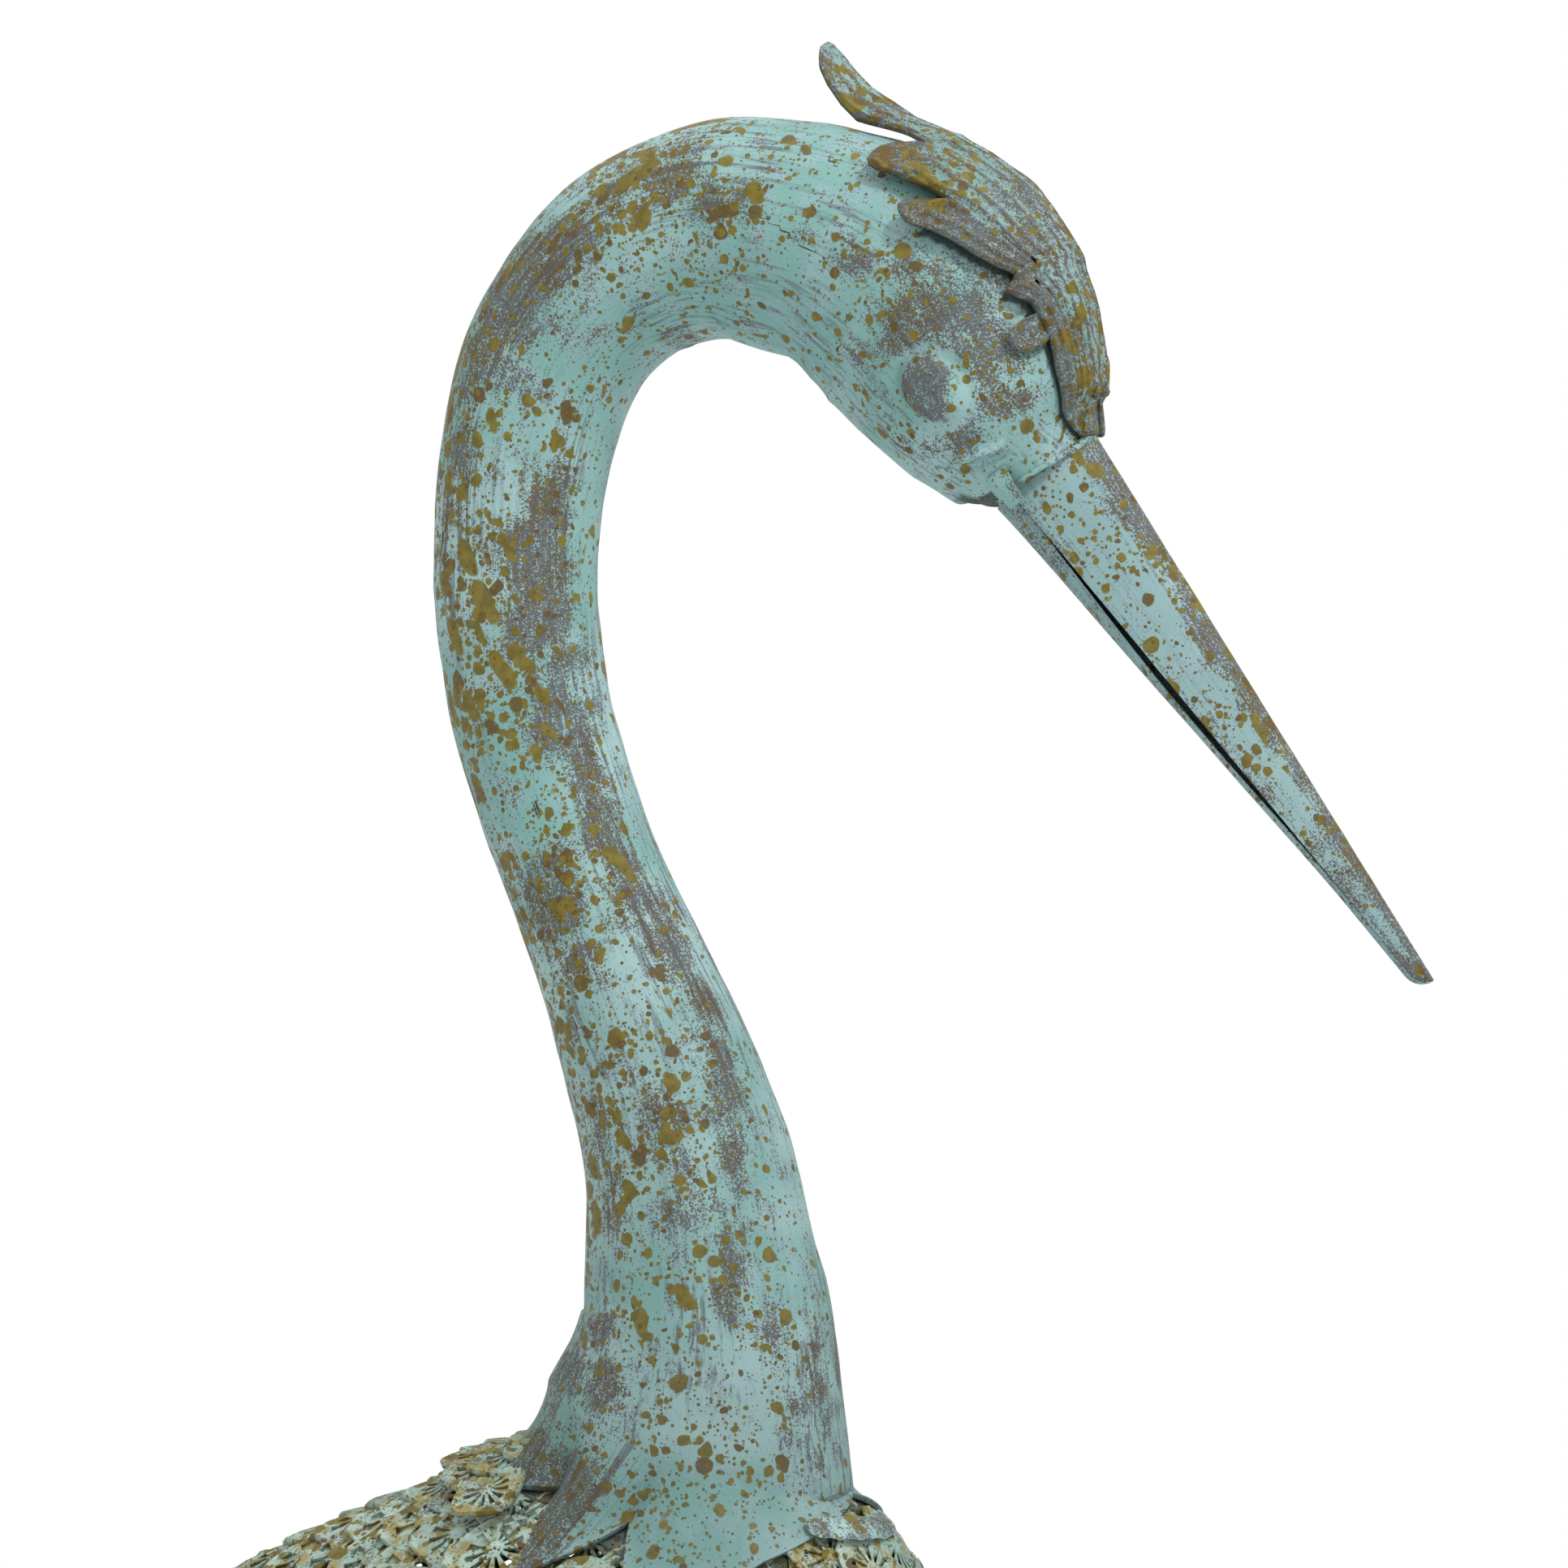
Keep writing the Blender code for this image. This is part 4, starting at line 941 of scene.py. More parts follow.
def build_eye(name, side):
    """Kidney boss with a rolled rim and a curled groove."""
    _, _, deep, wide, _, _ = neck_axis(EYE_PLACE)
    per_degree = RAD * (deep + wide) / 2
    around = circle(64)[None, :]
    radius = np.array([0.6, 0.9, 1.0, 1.03, 1.0, 0.95, 0.88, 0.8, 0.7, 0.6, 0.5, 0.4, 0.3, 0.2,
                       0.1])[:, None]
    height = np.array([0.0, 0.0, 0.1, 0.45, 0.8, 0.96, 1.0, 0.92, 0.80, 0.76, 0.8, 0.86, 0.9,
                       0.92, 0.93])[:, None]
    groove = bell(radius - 0.30, 0.085 * (around / math.pi), 0.06)
    height = height - 0.20 * groove * (radius < 0.7)
    u = EYE_LENGTH / 2 * radius * np.cos(around)
    v = EYE_WIDTH / 2 * radius * np.sin(around)
    v = v - np.where(np.sin(around) > 0, 0.18 * EYE_WIDTH * radius * np.sin(around) ** 2, 0)
    lean = 88 * RAD
    place = EYE_PLACE + (u * math.cos(lean) - v * math.sin(lean)) / HEAD_STEP
    turn = 180 - side * (EYE_ANGLE + (u * math.sin(lean) + v * math.cos(lean)) / per_degree)
    grid = neck_at(place, turn, EYE_HEIGHT * 1.25 * height + GAP)
    middle = neck_at(EYE_PLACE, 180 - side * EYE_ANGLE, EYE_HEIGHT * 1.1)
    start = neck_at(EYE_PLACE, 180 - side * EYE_ANGLE, GAP)
    rub = 0.85 + 0.30 * bell(radius, 0.88, 0.14) - 0.6 * groove
    make_piece(name + "_boss", [part(tube(grid, start, middle), rub, 0.2)], "painted_crest", name)


build_crest()
build_scrolls()
build_eye("eye_right", 1)
build_eye("eye_left", -1)


# Beak

# Millimetres of paint pattern round half of the beak
BEAK_FLOW = 40.0


def beak_point(t, side, depth):
    """Points in the beak's frame: share of its length, sideways, below its ridge."""
    x, z, deep, _, tx, tz = [float(v) for v in neck_axis(HEAD_END)]
    crown = deep + CREST_CLEARANCE + CREST_THICKNESS
    run = (math.cos(BEAK_DROOP), -math.sin(BEAK_DROOP))
    distance = t * BEAK_LENGTH
    return stack(x - tz * crown + tx * 2 * GAP + run[0] * distance + run[1] * depth, side,
                 z + tx * crown + tz * 2 * GAP + run[1] * distance - run[0] * depth)


def build_beak():
    """The upper channel, then the lower one, each a folded plate."""
    profile = np.array([(-1.0, 1.0), (-0.985, 0.8), (-0.955, 0.6), (-0.90, 0.42), (-0.78, 0.24),
                        (-0.62, 0.13), (-0.34, 0.045), (-0.12, 0.008), (0.0, 0.0)])
    profile = np.vstack([profile, profile[-2::-1] * (-1, 1)])
    fine = spline(profile, np.linspace(0, len(profile) - 1, 57))
    t = np.concatenate([np.linspace(0, 0.9, 110), np.linspace(0.905, 1.0, 24)])[:, None]
    tip = np.sqrt(np.clip(1 - (np.maximum(0, t - 0.972) / 0.028) ** 2 * 0.93, 0.05, 1))
    depth = (BEAK_DEPTH + (BEAK_TIP_DEPTH - BEAK_DEPTH) * t) * tip
    half = (BEAK_HALF_WIDTH + (BEAK_TIP_HALF_WIDTH - BEAK_HALF_WIDTH) * t) * tip
    wall = np.minimum(1.1, half * 0.5)
    side, deep = fine[:, 0][None, :], fine[:, 1][None, :]
    wave = 0.18 * np.sin(t * 37.0) + 0.12 * np.sin(t * 71.0 + 1)
    top = beak_point(t, side * (half + wave * np.abs(side)), deep * depth)
    inset = (half - wall) / half
    bottom = beak_point(t, side * half * inset, deep * depth + 1.3 * wall * (1 - deep))
    top = top + 0.15 * lumps(top, 16.0)[..., None] * grid_normals(top, False)
    ridge = 1 - smooth(0.04, 0.42, deep + 0 * t)
    rub = 0.14 + ridge * (0.7 + 0.5 * lumps(top, 45.0, 4.0)) + 0.55 * smooth(0.95, 1, t)
    rub = rub + 0.32 * smooth(0.35, 0.9, t) + 0.25 * (1 - smooth(0.0, 0.04, 1 - np.abs(side)))
    flow = stack(t * BEAK_LENGTH, side * BEAK_FLOW, deep * BEAK_FLOW)
    # Painted shade inside the channel
    shade = both_faces(0 * rub, 0 * rub + 0.7)
    gold = 0.48 - 0.20 * smooth(0.3, 0.9, t) + 0.5 * ridge + 0 * side
    make_piece("upper_beak_fold", [part(plate(top, bottom), rub, gold, shade, flow)],
               "painted_beak", "upper_beak")

    gap = GAP + 2.6 * np.sin(math.pi * np.minimum(1.0, t / 0.82)) ** 1.5
    rim = depth + gap
    keel = rim + (2.4 + (LOWER_BEAK_DEPTH - 1.2) * np.maximum(0.0, 1 - t / 0.5) ** 1.4
                  + 1.0 * (1 - t)) * tip
    width = half * (0.86 - 0.1 * t)
    wall = np.minimum(0.9, width * 0.35)
    low = np.array([(-1.0, 0.0), (-0.97, 0.3), (-0.8, 0.65), (-0.4, 0.93), (0.0, 1.0)])
    low = spline(np.vstack([low, low[-2::-1] * (-1, 1)]), np.linspace(0, 8, 33))
    side, deep = low[:, 0][None, :], low[:, 1][None, :]
    top = beak_point(t, side * width, rim + deep * (keel - rim))
    bottom = beak_point(t, side * (width - wall), rim + deep * (keel - rim - wall))
    rub = 0.42 + 0.2 * lumps(top, 30.0, 7.0)
    flow = stack(t * BEAK_LENGTH, side * BEAK_FLOW, deep * BEAK_FLOW)
    # Painted shade: a little on the outside under the upper fold, much inside
    shade = both_faces(0 * rub + 0.12, 0 * rub + 0.7)
    make_piece("lower_beak_fold", [part(plate(top, bottom), rub, 0.35, shade, flow)],
               "painted_beak", "lower_beak")


build_beak()


# Cast feathers

def body_surface(reach, angle, distance):
    """Points over the body by the way along it from the breast, and its angle."""
    return flank_at(np.interp(reach, BODY_REACH, BODY_REACH_X), angle, distance)


def mean_radius(x):
    return body_profile(x)[0] * (BODY_HALF_HEIGHT + BODY_HALF_WIDTH) / 2


# Stations along the body: x, mean radius, and the way over the surface from the breast
BODY_REACH_X = body_x(np.linspace(0.0005, 0.9995, 1500))
BODY_RADII = mean_radius(BODY_REACH_X)
BODY_STEPS = np.hypot(np.diff(BODY_REACH_X), np.diff(BODY_RADII))
BODY_REACH = np.concatenate([[0.0], np.cumsum(BODY_STEPS)])


def body_radius(reach):
    return np.maximum(6.0, np.interp(reach, BODY_REACH, BODY_RADII))


# Radius of a feather's sunburst as a share of its width
FEATHER_BURST = 0.35


def pierced_feather(surface, reach, angle, length, width, spin, lift, spokes=12,
                    radius_at=body_radius, base=0.0, worn=0.0, gold=0.6):
    """A pointed cast feather with a sunburst of slots cut through it. It lies on
    a surface and its tip lifts off it."""
    columns = spokes * 2
    theta = (np.arange(columns) / columns + 0.02) * 2 * math.pi
    ct, st = np.cos(theta)[None, :], np.sin(theta)[None, :]
    radius = FEATHER_BURST * width
    middle = 0.50 * length
    power = 0.5 * width * np.maximum(0.0, np.sin(np.linspace(0, math.pi, 181))) ** 0.72
    station = np.linspace(0, length, 181)
    outline = []
    for c, s in zip(ct[0], st[0]):
        reach_out = np.linspace(0, length, 200)
        a = middle + c * reach_out
        b = np.abs(s * reach_out)
        half = np.interp(a, station, power, left=-1, right=-1)
        half = half * (1 - 0.35 * smooth(0.55 * length, length, a))
        inside = np.nonzero(b <= half)[0]
        outline.append(reach_out[inside[-1]] if len(inside) else radius)
    outline = np.maximum(np.array(outline), radius * 1.12)[None, :]
    levels = [0.06, 0.22, 0.32, 0.62, 0.95]
    rings = [radius * v + 0 * outline for v in levels]
    rings += [radius * 1.05 + (outline - radius * 1.05) * v for v in (0.35, 0.82, 1.0)]
    rings = np.vstack(rings)
    height = np.array([1.7, 1.3, 0.45, 0.2, 0.65, 0.2, 1.2, 0.15])[:, None] + 0 * rings
    a = middle + rings * ct
    b = rings * st
    twist = math.cos(spin), math.sin(spin)
    along_body = reach + (a - middle) * twist[0] - b * twist[1]
    across_body = (a - middle) * twist[1] + b * twist[0]
    turned = angle + across_body / radius_at(reach) / RAD
    rise = base + lift * (a / length) ** 1.5
    bow = 0.9 * (np.abs(b) / (0.5 * width)) ** 2
    top = surface(along_body, turned, rise + height - bow + 1.2)
    bottom = surface(along_body, turned, rise - bow - 0.2 + 0 * height)
    keep = np.ones((7, columns), bool)
    keep[2:4, 0::2] = False
    points, faces = plate(top, bottom, keep, wrap=True)
    half = top.shape[0] * columns
    fan = [(j, (j + 1) % columns, 2 * half) for j in range(columns)]
    fan += [(half + (j + 1) % columns, half + j, 2 * half + 1) for j in range(columns)]
    points = np.vstack([points, top[0].mean(0), bottom[0].mean(0)])
    rim = np.clip(height / 1.2, 0, 1)
    rub = np.append(both_faces(0.2 + 0.35 * rim, 0 * rim + 0.2), [0.6, 0.2])
    # Painted shade in the feather's hollows and on its underside
    shade = np.append(both_faces(0.22 * (1 - rim), 0 * rim + 0.75), [0, 0.75])
    return part((points, faces + fan), np.clip(rub + worn, 0, 1), gold, shade)


# Millimetres over the body's top for each degree down from the collar's axis
COLLAR_STEP = 1.85
# Space between the body's rows of feathers, and between those in a row
FEATHER_ROW = 18.5
FEATHER_PITCH = 25.0


def under_skirt(point):
    """How far a place is inside the skirt's hem, in degrees; negative outside."""
    away = unit(point - np.array([BODY_CENTRE_X, 0.0, BODY_CENTRE_Z]))
    nx, nz = math.sin(COLLAR_TILT), math.cos(COLLAR_TILT)
    down = math.acos(np.clip(away[0] * nx + away[2] * nz, -1, 1)) / RAD
    front = away[0] * nz - away[2] * nx
    turn = math.atan2(-away[1], front) / RAD
    table = [(h[1], h[2]) for h in HEM]
    return along(table, abs(turn)) - down


def build_body():
    """Overlapping pierced feathers: the body's rows, then those over the collar."""
    sides = {1: [], -1: []}
    for i in range(int(BODY_REACH[-1] / FEATHER_ROW) + 1):
        reach = 4.0 + i * FEATHER_ROW
        radius = float(body_radius(reach))
        count = max(5, int(round(2 * math.pi * radius / FEATHER_PITCH)))
        for j in range(count):
            angle = 360.0 * (j + 0.5 * (i % 2)) / count + random.uniform(-2, 2)
            side = angle % 360.0
            folded = float(fold(side))
            u = (BODY_CENTRE_X + BREAST_REACH
                 - float(np.interp(reach, BODY_REACH, BODY_REACH_X))) / BODY_LENGTH
            # None under the middle of a wing, nor far under the skirt
            if 0.42 < u < 0.80 and 72 < folded < 112:
                continue
            hidden = under_skirt(body_surface(reach, angle, 0.0))
            if hidden > 11.0:
                continue
            # Tips lie flat at the skirt's hem and round the wings
            lift = 3.4 if hidden < -4.0 else 0.4
            if 0.30 < u < 0.95 and 58 < folded < 130:
                lift = 0.2
            size = min(1.0, 0.55 + radius / 120.0)
            feather = pierced_feather(
                lambda r, a, d: body_surface(r, a, d - BODY_SEAT - 0.6), reach, angle,
                random.uniform(40, 46) * size, random.uniform(31, 35) * size,
                random.uniform(-0.16, 0.16), lift, spokes=12 if hidden > -22.0 else 7,
                worn=random.uniform(-0.15, 0.35), gold=random.uniform(0.4, 0.8))
            # Painted shadow of the skirt on the feathers under it
            feather[2]["shade"] = np.maximum(feather[2]["shade"], 0.8 * (hidden > 3.0))
            sides[1 if side < 180 else -1].append(feather)
    for i, (down, first) in enumerate(((29.0, 152), (36.5, 146), (44.0, 138))):
        for angle in np.arange(first + 7.0 * (i % 2), 361 - first, 14.5):
            feather = pierced_feather(
                lambda r, a, d: body_at(a, r / COLLAR_STEP, d), down * COLLAR_STEP, angle,
                random.uniform(34, 40), random.uniform(26, 30), random.uniform(-0.2, 0.2), 3.0,
                radius_at=lambda r: 100.0 * math.sin(down * RAD), base=SHEET + 2.2,
                spokes=random.choice((10, 11, 12)), worn=random.uniform(0.0, 0.4),
                gold=random.uniform(0.5, 0.9))
            sides[1 if angle < 180 else -1].append(feather)
    for side, name in ((1, "body_feathers_right"), (-1, "body_feathers_left")):
        make_piece(name, sides[side], "painted_feathers", "body")


build_body()


def long_feather(path, half, surface, lift, rows=44):
    """A long pointed feather along a path on a surface: quill, slanted barbs and
    slots. The path is its first and last place. It comes as a plate, rub and shade."""
    columns = 13
    t = np.linspace(0, 1, rows)[:, None]
    w = np.linspace(-1, 1, columns)[None, :]
    slant = t + 0.10 * np.abs(w) * np.minimum(1.0, 4 * (1 - t))
    slant = np.clip(slant - 0.10 * np.abs(w), 0, 1)
    shape = smooth(-0.08, 0.18, slant) * (1 - np.clip((slant - 0.66) / 0.34, 0, 1) ** 2.0)
    shape = np.maximum(shape, 0.03)
    u, v = [along([(0.0, path[0][i]), (1.0, path[1][i])], slant) for i in (0, 1)]
    across = w * shape * half
    quill = 1.3 * bell(w, 0.0, 0.13) * (1 - 0.6 * slant)
    barb = 0.32 * np.cos(math.pi * (t * rows))
    rim = 0.7 * smooth(0.75, 0.95, np.abs(w)) * smooth(1.0, 0.97, t)
    rise = lift(slant)
    bow = -0.9 * w * w
    top = surface(u, v, across, rise + 1.6 + quill + barb + rim + bow)
    bottom = surface(u, v, across, rise + bow)
    keep = np.ones((rows - 1, columns - 1), bool)
    centre = columns // 2
    for r in range(8, rows - 9, 4):
        keep[r, 2:centre - 1] = False
        keep[r, centre + 1:columns - 3] = False
    raised = np.clip((quill + rim) / 1.3, 0, 1)
    # Painted shade between the quill and the rims, and on the underside
    shade = both_faces(0.25 * (1 - raised), 0 * raised + 0.5)
    return plate(top, bottom, keep), 0.2 + 0.5 * raised, shade


def build_wing(name, side):
    """A folded wing: long feathers in two layers, pierced ones over its shoulder."""
    def surface(u, angle, across, distance):
        x = body_x(u)
        turned = angle + across / np.maximum(mean_radius(x), 10.0) / RAD
        return flank_at(x, turned, distance) * [1.0, side, 1.0]

    parts = []
    # Two layers, the lower first
    for count, start, shift, reach, base in ((6, 0.40, 0.0, 1.0, 0.6), (5, 0.36, 0.5, 0.62, 2.2)):
        for k in range(count):
            across = (k + 0.5) / 6 + shift / 6
            angle = 60 + 68 * across
            end = start + (0.934 - 0.208 * across ** 1.3 - start) * reach
            path = [(start, angle), (end, angle - 1.5 + 3 * across)]
            shape, rub, shade = long_feather(path, 10.5, surface,
                                             lambda s: 1.4 + base * (1 - 0.4 * s))
            gold = random.uniform(0.4, 0.75)
            parts.append(part(shape, rub + random.uniform(-0.1, 0.25), gold, shade))
    for row, reach in enumerate((0.315, 0.375, 0.435)):
        count = 6 - row % 2
        for k in range(count):
            angle = 64 + 60 * (k + 0.5) / count
            x = float(body_x(reach - 0.02 * math.sin(math.pi * (k + 0.5) / count)))
            along_body = float(np.interp(-x, -BODY_REACH_X, BODY_REACH))
            parts.append(pierced_feather(
                lambda r, a, d: body_surface(r, a, d + 2.2 - 0.3 * row) * [1.0, side, 1.0],
                along_body, angle, 46.0, 30.0, random.uniform(-0.1, 0.1), 1.4,
                worn=random.uniform(-0.1, 0.3)))
    make_piece(name + "_feathers", parts, "painted_feathers", name)


build_wing("wing_right", 1)
build_wing("wing_left", -1)


def build_tail():
    """Five long feathers and four shorter ones over them, on the drooping tail."""
    centre = [(0.796, 0.568), (0.921, 0.312), (1.057, 0.006), (1.181, -0.319), (1.293, -0.683)]
    halves = [(0, 0.353), (0.25, 0.494), (0.5, 0.612), (0.75, 0.706), (1.0, 0.776)]

    def surface(share, lane, across, distance):
        line = spline(centre, np.clip(share, 0, 1) * 4)
        half = BODY_HALF_WIDTH * along(halves, share)
        spread = lane + across / half
        x = body_x(line[..., 0])
        middle = body_profile(x)[1]
        drop = 0.14 * BODY_HALF_WIDTH * spread ** 2
        return stack(x + 0.55 * distance, spread * half,
                     middle + line[..., 1] * BODY_HALF_HEIGHT - drop + distance)

    parts = []
    for count, start, reach, half, low, step, rows in (
            (5, 0.04, 0.985, 14.5, 0.4, 0.5, 60), (4, 0.02, 0.62, 12.5, 2.4, 0.4, 40)):
        for k in range(count):
            lane = 0.4 * k - 0.2 * (count - 1)
            end = reach - 0.10 * lane * lane if count == 5 else reach
            shape, rub, shade = long_feather(
                [(start, lane * 0.9), (end, lane)], half, surface,
                lambda s: low + step * (k % 2) + 0 * s, rows)
            parts.append(part(shape, rub + random.uniform(-0.1, 0.2), 0.6, shade))
    make_piece("tail_feathers", parts, "painted_feathers", "tail")


build_tail()


def build_breast_tab():
    """Rolled strap from the middle of the breast over the right front feather."""
    turn = np.linspace(-12, 28, 90)[:, None]
    around = circle(24)[None, :]
    end = np.sqrt(np.clip(1 - ((turn - 8) / 20.4) ** 6, 0.02, 1))
    down = 34.9 + 2.2 * np.cos(around) * end + 1.5 * np.cos((turn - 8) / 20.0 * 90 * RAD)
    base = GAP + (SHEET + 0.9) * np.clip((turn - 4) / 8.0, 0, 1)
    height = base + 0.8 + 0.9 * np.sin(around) * end
    grid = body_at(turn + 0 * around, down, height)
    grid = grid + 0.8 * lumps(grid, 6.0, 2.0)[..., None] * [0.3, -0.3, 0.8]
    shape = tube(grid, grid[0].mean(0), grid[-1].mean(0))
    rub = 0.75 + 0.5 * lumps(grid, 8.0)
    make_piece("breast_strap", [part(shape, rub, 0.6)], "painted_turquoise", "breast_tab")


build_breast_tab()


# Legs, feet and base

FOOT_X = HIP_X + 2.0
ANKLE_X = HIP_X - 26.0
ANKLE_SIDE = LEG_SIDE + 3.0
# Share of a toe's length where its claw begins
CLAW_START = 0.84


def scales(rows_at, columns_at, row_size):
    """Height of overlapping pointed scales, 0 to 1, lowest at each row's root."""
    r = rows_at / row_size
    best = np.zeros(np.broadcast(rows_at, columns_at).shape)
    for shift in (0, 1):
        i = np.floor(r) - shift
        inside = (r - i) / 1.7
        offset = 0.5 * np.mod(i, 2)
        c = np.abs(np.mod(columns_at + offset, 1.0) - 0.5) * 2
        edge = 1 - smooth(0.55, 1.0, inside) * c * 1.1 - np.clip(inside - 0.85, 0, 1) * 4 * c
        within = (inside < 1.0 - 0.42 * c ** 1.5) & (inside >= 0)
        best = np.where(within, np.maximum(best, 0.25 + 0.75 * inside - 0.15 * c * c), best)
    return best


def build_leg(name, side):
    """Scaly thigh, then shank, ankle and tarsus in rows of scutes. A row is a ring
    of points, its distance down the leg, and 1 for the thigh or 0 below it."""
    sign = -side
    floor = BASE_THICKNESS + FOOT_HEIGHT + 2 * GAP
    top = BODY_CENTRE_Z - 1.03 * BODY_HALF_HEIGHT
    knee = BODY_CENTRE_Z - 1.86 * BODY_HALF_HEIGHT
    around = circle(72)

    def belly(x, y):
        share, middle = body_profile(x)
        inner = np.clip(1 - (y / (BODY_HALF_WIDTH * share)) ** 2, 0, 1)
        return middle - BODY_HALF_HEIGHT * share * np.sqrt(inner) - 0.5

    def ring(x, y, z, radius):
        return stack(x + radius * np.cos(around), sign * y + radius * np.sin(around), z)

    shares = [0.0, 0.35, 0.65, 0.85, 1.0]
    back = [0.0, 2.1, 3.9, 5.1, 7.0]
    radii = [LEG_RADIUS, LEG_RADIUS * 0.86, LEG_RADIUS * 0.6, LEG_RADIUS * 0.38,
             SHANK_RADIUS * 1.1]
    rows = []
    for share in np.linspace(0, 1, 120):
        height = top + (knee - top) * share
        points = ring(HIP_X - np.interp(share, shares, back), LEG_SIDE, height,
                      np.interp(share, shares, radii))
        if share < 0.35:
            blend = smooth(0.35, 0.0, share)
            points[:, 2] = belly(points[:, 0], points[:, 1]) * blend + height * (1 - blend)
        rows.append((points, share * (top - knee), 1.0))
    for s in np.linspace(0, 1, 90)[1:]:
        rows.append((ring(HIP_X - 7 + (ANKLE_X - HIP_X + 7) * s, LEG_SIDE + 3 * s,
                          knee + (ANKLE_HEIGHT + 16 - knee) * s, SHANK_RADIUS), 97 + s * 160, 0.0))
    for z in np.linspace(ANKLE_HEIGHT + 15, ANKLE_HEIGHT - 16, 30):
        swell = 1.0 + 0.45 * math.exp(-((z - ANKLE_HEIGHT) / 9.0) ** 4)
        rows.append((ring(ANKLE_X, ANKLE_SIDE, z, SHANK_RADIUS * swell),
                     260 + ANKLE_HEIGHT - z, 0.0))
    for s in np.linspace(0, 1, 130)[1:]:
        rows.append((ring(ANKLE_X + (FOOT_X - ANKLE_X) * s,
                          ANKLE_SIDE + (FOOT_SIDE - ANKLE_SIDE) * s,
                          ANKLE_HEIGHT - 17 + (floor - ANKLE_HEIGHT + 17) * s,
                          SHANK_RADIUS * (0.95 + 0.25 * smooth(0.94, 1.0, s))),
                     290 + 240 * s, 0.0))
    grid = np.array([r[0] for r in rows])
    distance = np.array([r[1] for r in rows])[:, None]
    thigh = np.array([r[2] for r in rows])[:, None]
    arc = around[None, :] / (2 * math.pi)
    feather = scales(distance, arc * 9, 13.0)
    scute = scales(distance, arc * 3, 5.5)
    relief = thigh * (2.6 * feather - 1.6) + (1 - thigh) * (0.9 * scute - 0.45)
    relief = relief + 0.3 * lumps(grid, 9.0)
    relief[0] = -0.5
    relief[-1] = 0.0
    normal = grid_normals(grid, True)
    centre = grid.mean(1, keepdims=True)
    outward = np.sign(np.sum(normal * (grid - centre), -1, keepdims=True))
    grid = grid + normal * outward * relief[..., None]
    raised = np.clip(thigh * feather + (1 - thigh) * scute, 0, 1)
    rub = 0.18 + 0.45 * smooth(0.6, 1.0, raised) + 0.2 * lumps(grid, 40.0, 3.0)
    # Painted shade between the raised scales
    shade = 0.35 * (1 - smooth(0.2, 0.5, raised))
    start = np.array([HIP_X, sign * LEG_SIDE, float(belly(HIP_X, LEG_SIDE))])
    end = np.array([FOOT_X, sign * FOOT_SIDE, floor])
    flow = stack(distance, 8 * np.cos(around), 8 * np.sin(around))
    make_piece(name + "_casting", [part(tube(grid, start, end), rub, 0.55, shade, flow)],
               "painted_legs", name)


def build_foot(name, side):
    """Three jointed front toes and a hind toe, with claws, on a round hub."""
    x0, y0 = FOOT_X, -side * FOOT_SIDE
    low = BASE_THICKNESS + GAP
    parts = []
    around = circle(28)[None, :]
    # The hind toe has a length of its own
    for angle, reach in ((-34, 0.92), (0, 1.0), (34, 0.92), (180, 0.0)):
        length = TOE_LENGTH * reach if reach else HIND_TOE_LENGTH
        t = np.linspace(0, 1, 70)[:, None]
        joints = 3 if reach else 2
        knuckle = 1 + 0.20 * np.cos(2 * math.pi * joints * t / 0.86) * smooth(0.95, 0.8, t)
        half = (5.2 - 2.6 * smooth(0, 0.8, t)) * knuckle
        past = t - CLAW_START
        half = half * np.where(past > 0, np.clip(1 - past / 0.165, 0.05, 1) * 0.9, 1.0)
        tall = half * (1.05 + 0.45 * smooth(0.5, 0.0, t))
        middle = np.where(past > 0, tall * 0.9 + 0.8 * np.sin(past * 14), tall * 0.92)
        px = length * t
        py = half * np.cos(around)
        pz = np.maximum(0.0, middle + tall * np.sin(around))
        scute = 0.35 * np.abs(np.sin(px * 0.9)) * np.maximum(0, np.sin(around))
        pz = pz + scute * (past < 0)
        ca, sa = math.cos(angle * RAD), math.sin(angle * RAD)
        grid = stack(x0 + px * ca - py * sa, y0 + px * sa + py * ca, low + pz)
        rub = 0.25 + 0.35 * smooth(CLAW_START, 0.9, t) + 0 * around
        shape = tube(grid, grid[0].mean(0), grid[-1].mean(0))
        # A light even touch of painted shade on the toes
        parts.append(part(shape, rub, 0.5, 0.1))
    t = np.linspace(0, 1, 26)[:, None]
    boss_wear_and_highlight = 12.5 * np.sqrt(np.clip(1 - (0.75 * t) ** 2, 0, 1)) * (1 - 0.12 * smooth(0.8, 1, t))
    grid = stack(x0 + boss_wear_and_highlight * np.cos(around), y0 + boss_wear_and_highlight * np.sin(around),
                 low + t * (FOOT_HEIGHT - GAP))
    grid[..., :2] += (0.4 * lumps(grid, 6.0))[..., None] * (t[..., None] * (1 - t[..., None]) * 4)
    # A light even touch of painted shade on the hub
    parts.append(part(tube(grid, np.array([x0, y0, low]),
                           np.array([x0, y0, BASE_THICKNESS + FOOT_HEIGHT])), 0.4, 0.5, 0.1))
    make_piece(name + "_casting", parts, "painted_legs", name)


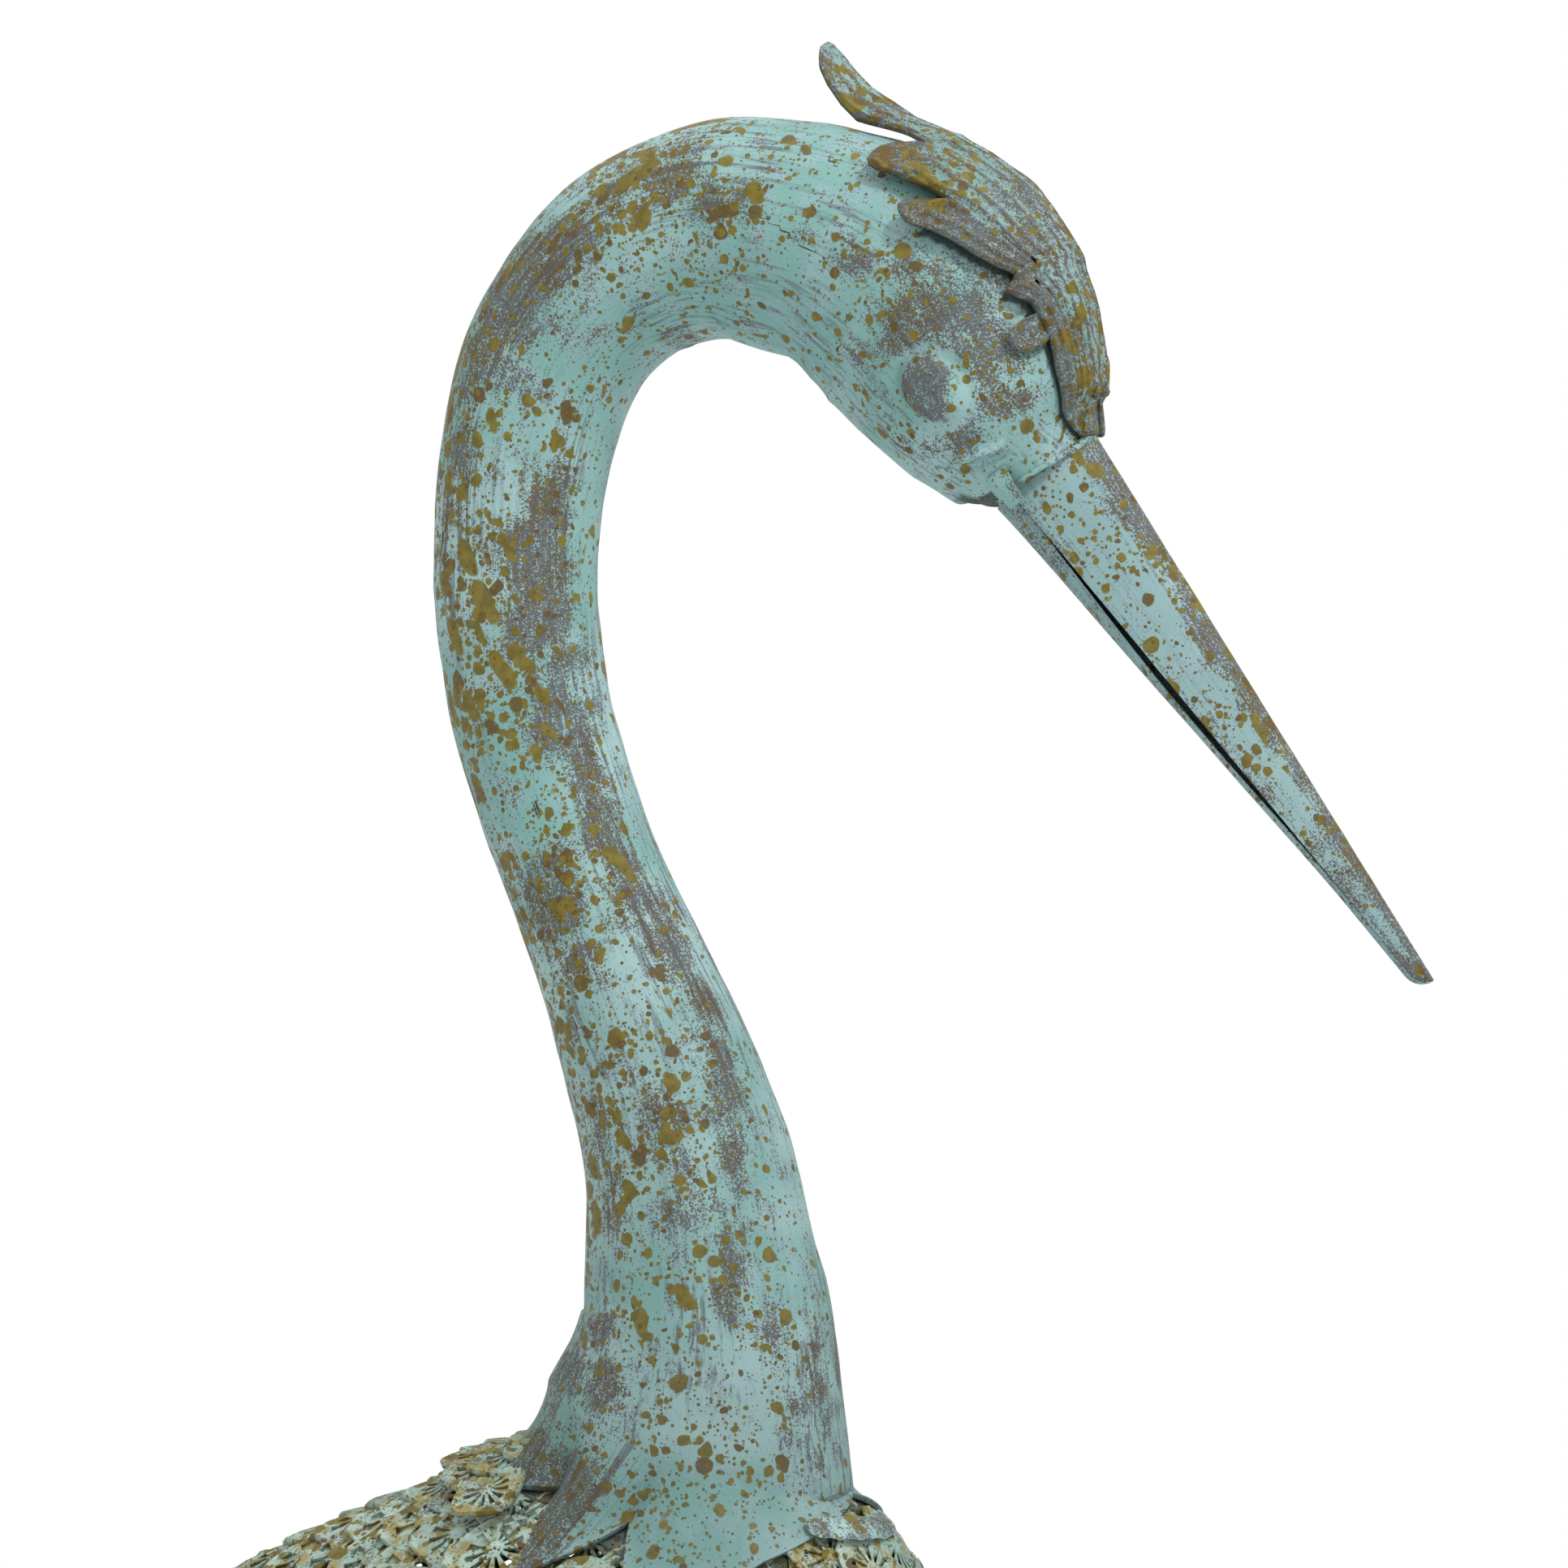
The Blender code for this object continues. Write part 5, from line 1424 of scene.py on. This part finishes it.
def build_base():
    """Low oval plate with a rolled edge and a hammered face."""
    around = circle(160)
    rows = [(3.0, 0.0), (1.2, 0.0), (0.5, 0.4), (0.0, 1.6), (0.0, 5.0),
            (0.0, 8.2), (0.5, 9.3), (1.4, 9.85), (2.6, 10.0), (4.5, 9.9), (6.5, 9.5)]
    rows += [(s, 9.45) for s in np.linspace(9, 120, 60)]
    grid = np.array([stack((BASE_LENGTH / 2 - inset * 1.36) * np.cos(around),
                           (BASE_WIDTH / 2 - inset) * np.sin(around), z) for inset, z in rows])
    row = np.arange(len(rows))[:, None]
    grid[..., 2] += np.where(row > 10, np.minimum(0.5, 0.35 * lumps(grid, 16.0) - 0.1), 0.0)
    rub = 0.22 + 0.25 * lumps(grid, 45.0, 9.0) + 0.35 * ((row > 3) & (row < 10))
    start, end = np.array([0, 0, 0.0]), np.array([0, 0, 9.4])
    make_piece("base_plate_casting", [part(tube(grid, start, end), rub, 0.6)], "painted_legs",
               "base_plate")


for side, word in ((1, "right"), (-1, "left")):
    build_leg("leg_" + word, side)
    build_foot("foot_" + word, side)
build_base()


# Floor, light and camera

VIEW_ANGLE = 22.0 * RAD
VIEW_POINT = Vector((0.107, 0.0, 0.98))
TOWARD = Vector((math.sin(VIEW_ANGLE), -math.cos(VIEW_ANGLE), 0.0))
RIGHT = Vector((math.cos(VIEW_ANGLE), math.sin(VIEW_ANGLE), 0.0))
UP = Vector((0.0, 0.0, 1.0))
VIEW_DISTANCE = 2.5
LENS = 155.2
FLOOR_HALF = 4.0
SKY_LOW = 0.50
SKY_HIGH = 1.0
KEY_PLACE = VIEW_POINT + RIGHT * 0.75 + UP * 1.4 + TOWARD * 1.0
KEY_SIZE = 0.2
KEY_POWER = 14.5


def build_floor():
    mesh = bpy.data.meshes.new("floor")
    corners = [(x * FLOOR_HALF, y * FLOOR_HALF, 0)
               for x, y in ((-1, -1), (1, -1), (1, 1), (-1, 1))]
    mesh.from_pydata(corners, [], [(0, 1, 2, 3)])
    n = Nodes("floor_look")
    grain = n.fac(n.object_places(), 3.0, 3.0)
    n.put(n.shader.inputs["Base Color"],
          n.mix(grain, (0.80, 0.80, 0.80, 1), (0.84, 0.84, 0.84, 1)))
    n.shader.inputs["Roughness"].default_value = 0.8
    mesh.materials.append(n.material)
    floor = bpy.data.objects.new("floor", mesh)
    bpy.context.scene.collection.objects.link(floor)


def add_key():
    """The sun-like light from above the viewer's right shoulder."""
    data = bpy.data.lights.new("key", "AREA")
    data.shape = "DISK"
    data.size = KEY_SIZE
    data.energy = KEY_POWER
    item = bpy.data.objects.new("key", data)
    item.location = KEY_PLACE
    item.rotation_euler = (VIEW_POINT - KEY_PLACE).to_track_quat("-Z", "Y").to_euler()
    bpy.context.scene.collection.objects.link(item)


def build_sky(tree):
    """White backdrop; its light is strong overhead and weak from the sides."""
    coords = tree.nodes.new("ShaderNodeTexCoord")
    split = tree.nodes.new("ShaderNodeSeparateXYZ")
    tree.links.new(coords.outputs["Generated"], split.inputs[0])
    ramp = tree.nodes.new("ShaderNodeMapRange")
    ramp.inputs["From Min"].default_value = -0.2
    ramp.inputs["From Max"].default_value = 1.0
    ramp.inputs["To Min"].default_value = SKY_LOW
    ramp.inputs["To Max"].default_value = SKY_HIGH
    tree.links.new(split.outputs["Z"], ramp.inputs["Value"])
    seen = tree.nodes.new("ShaderNodeLightPath")
    pick = tree.nodes.new("ShaderNodeMix")
    tree.links.new(seen.outputs["Is Camera Ray"], pick.inputs[0])
    tree.links.new(ramp.outputs["Result"], pick.inputs[2])
    pick.inputs[3].default_value = 1.0
    tree.links.new(pick.outputs[0], tree.nodes["Background"].inputs["Strength"])
    tree.nodes["Background"].inputs["Color"].default_value = (1.0, 1.0, 1.0, 1.0)


build_floor()
add_key()

world = bpy.data.worlds.new("studio")
bpy.context.scene.world = world
world.use_nodes = True
build_sky(world.node_tree)
bpy.context.scene.view_settings.view_transform = "Standard"

camera = bpy.data.objects.new("camera", bpy.data.cameras.new("camera"))
camera.data.sensor_width = 36.0
camera.data.lens = LENS
camera.location = VIEW_POINT + TOWARD * VIEW_DISTANCE
camera.rotation_euler = (-TOWARD).to_track_quat("-Z", "Y").to_euler()
bpy.context.scene.collection.objects.link(camera)
bpy.context.scene.camera = camera
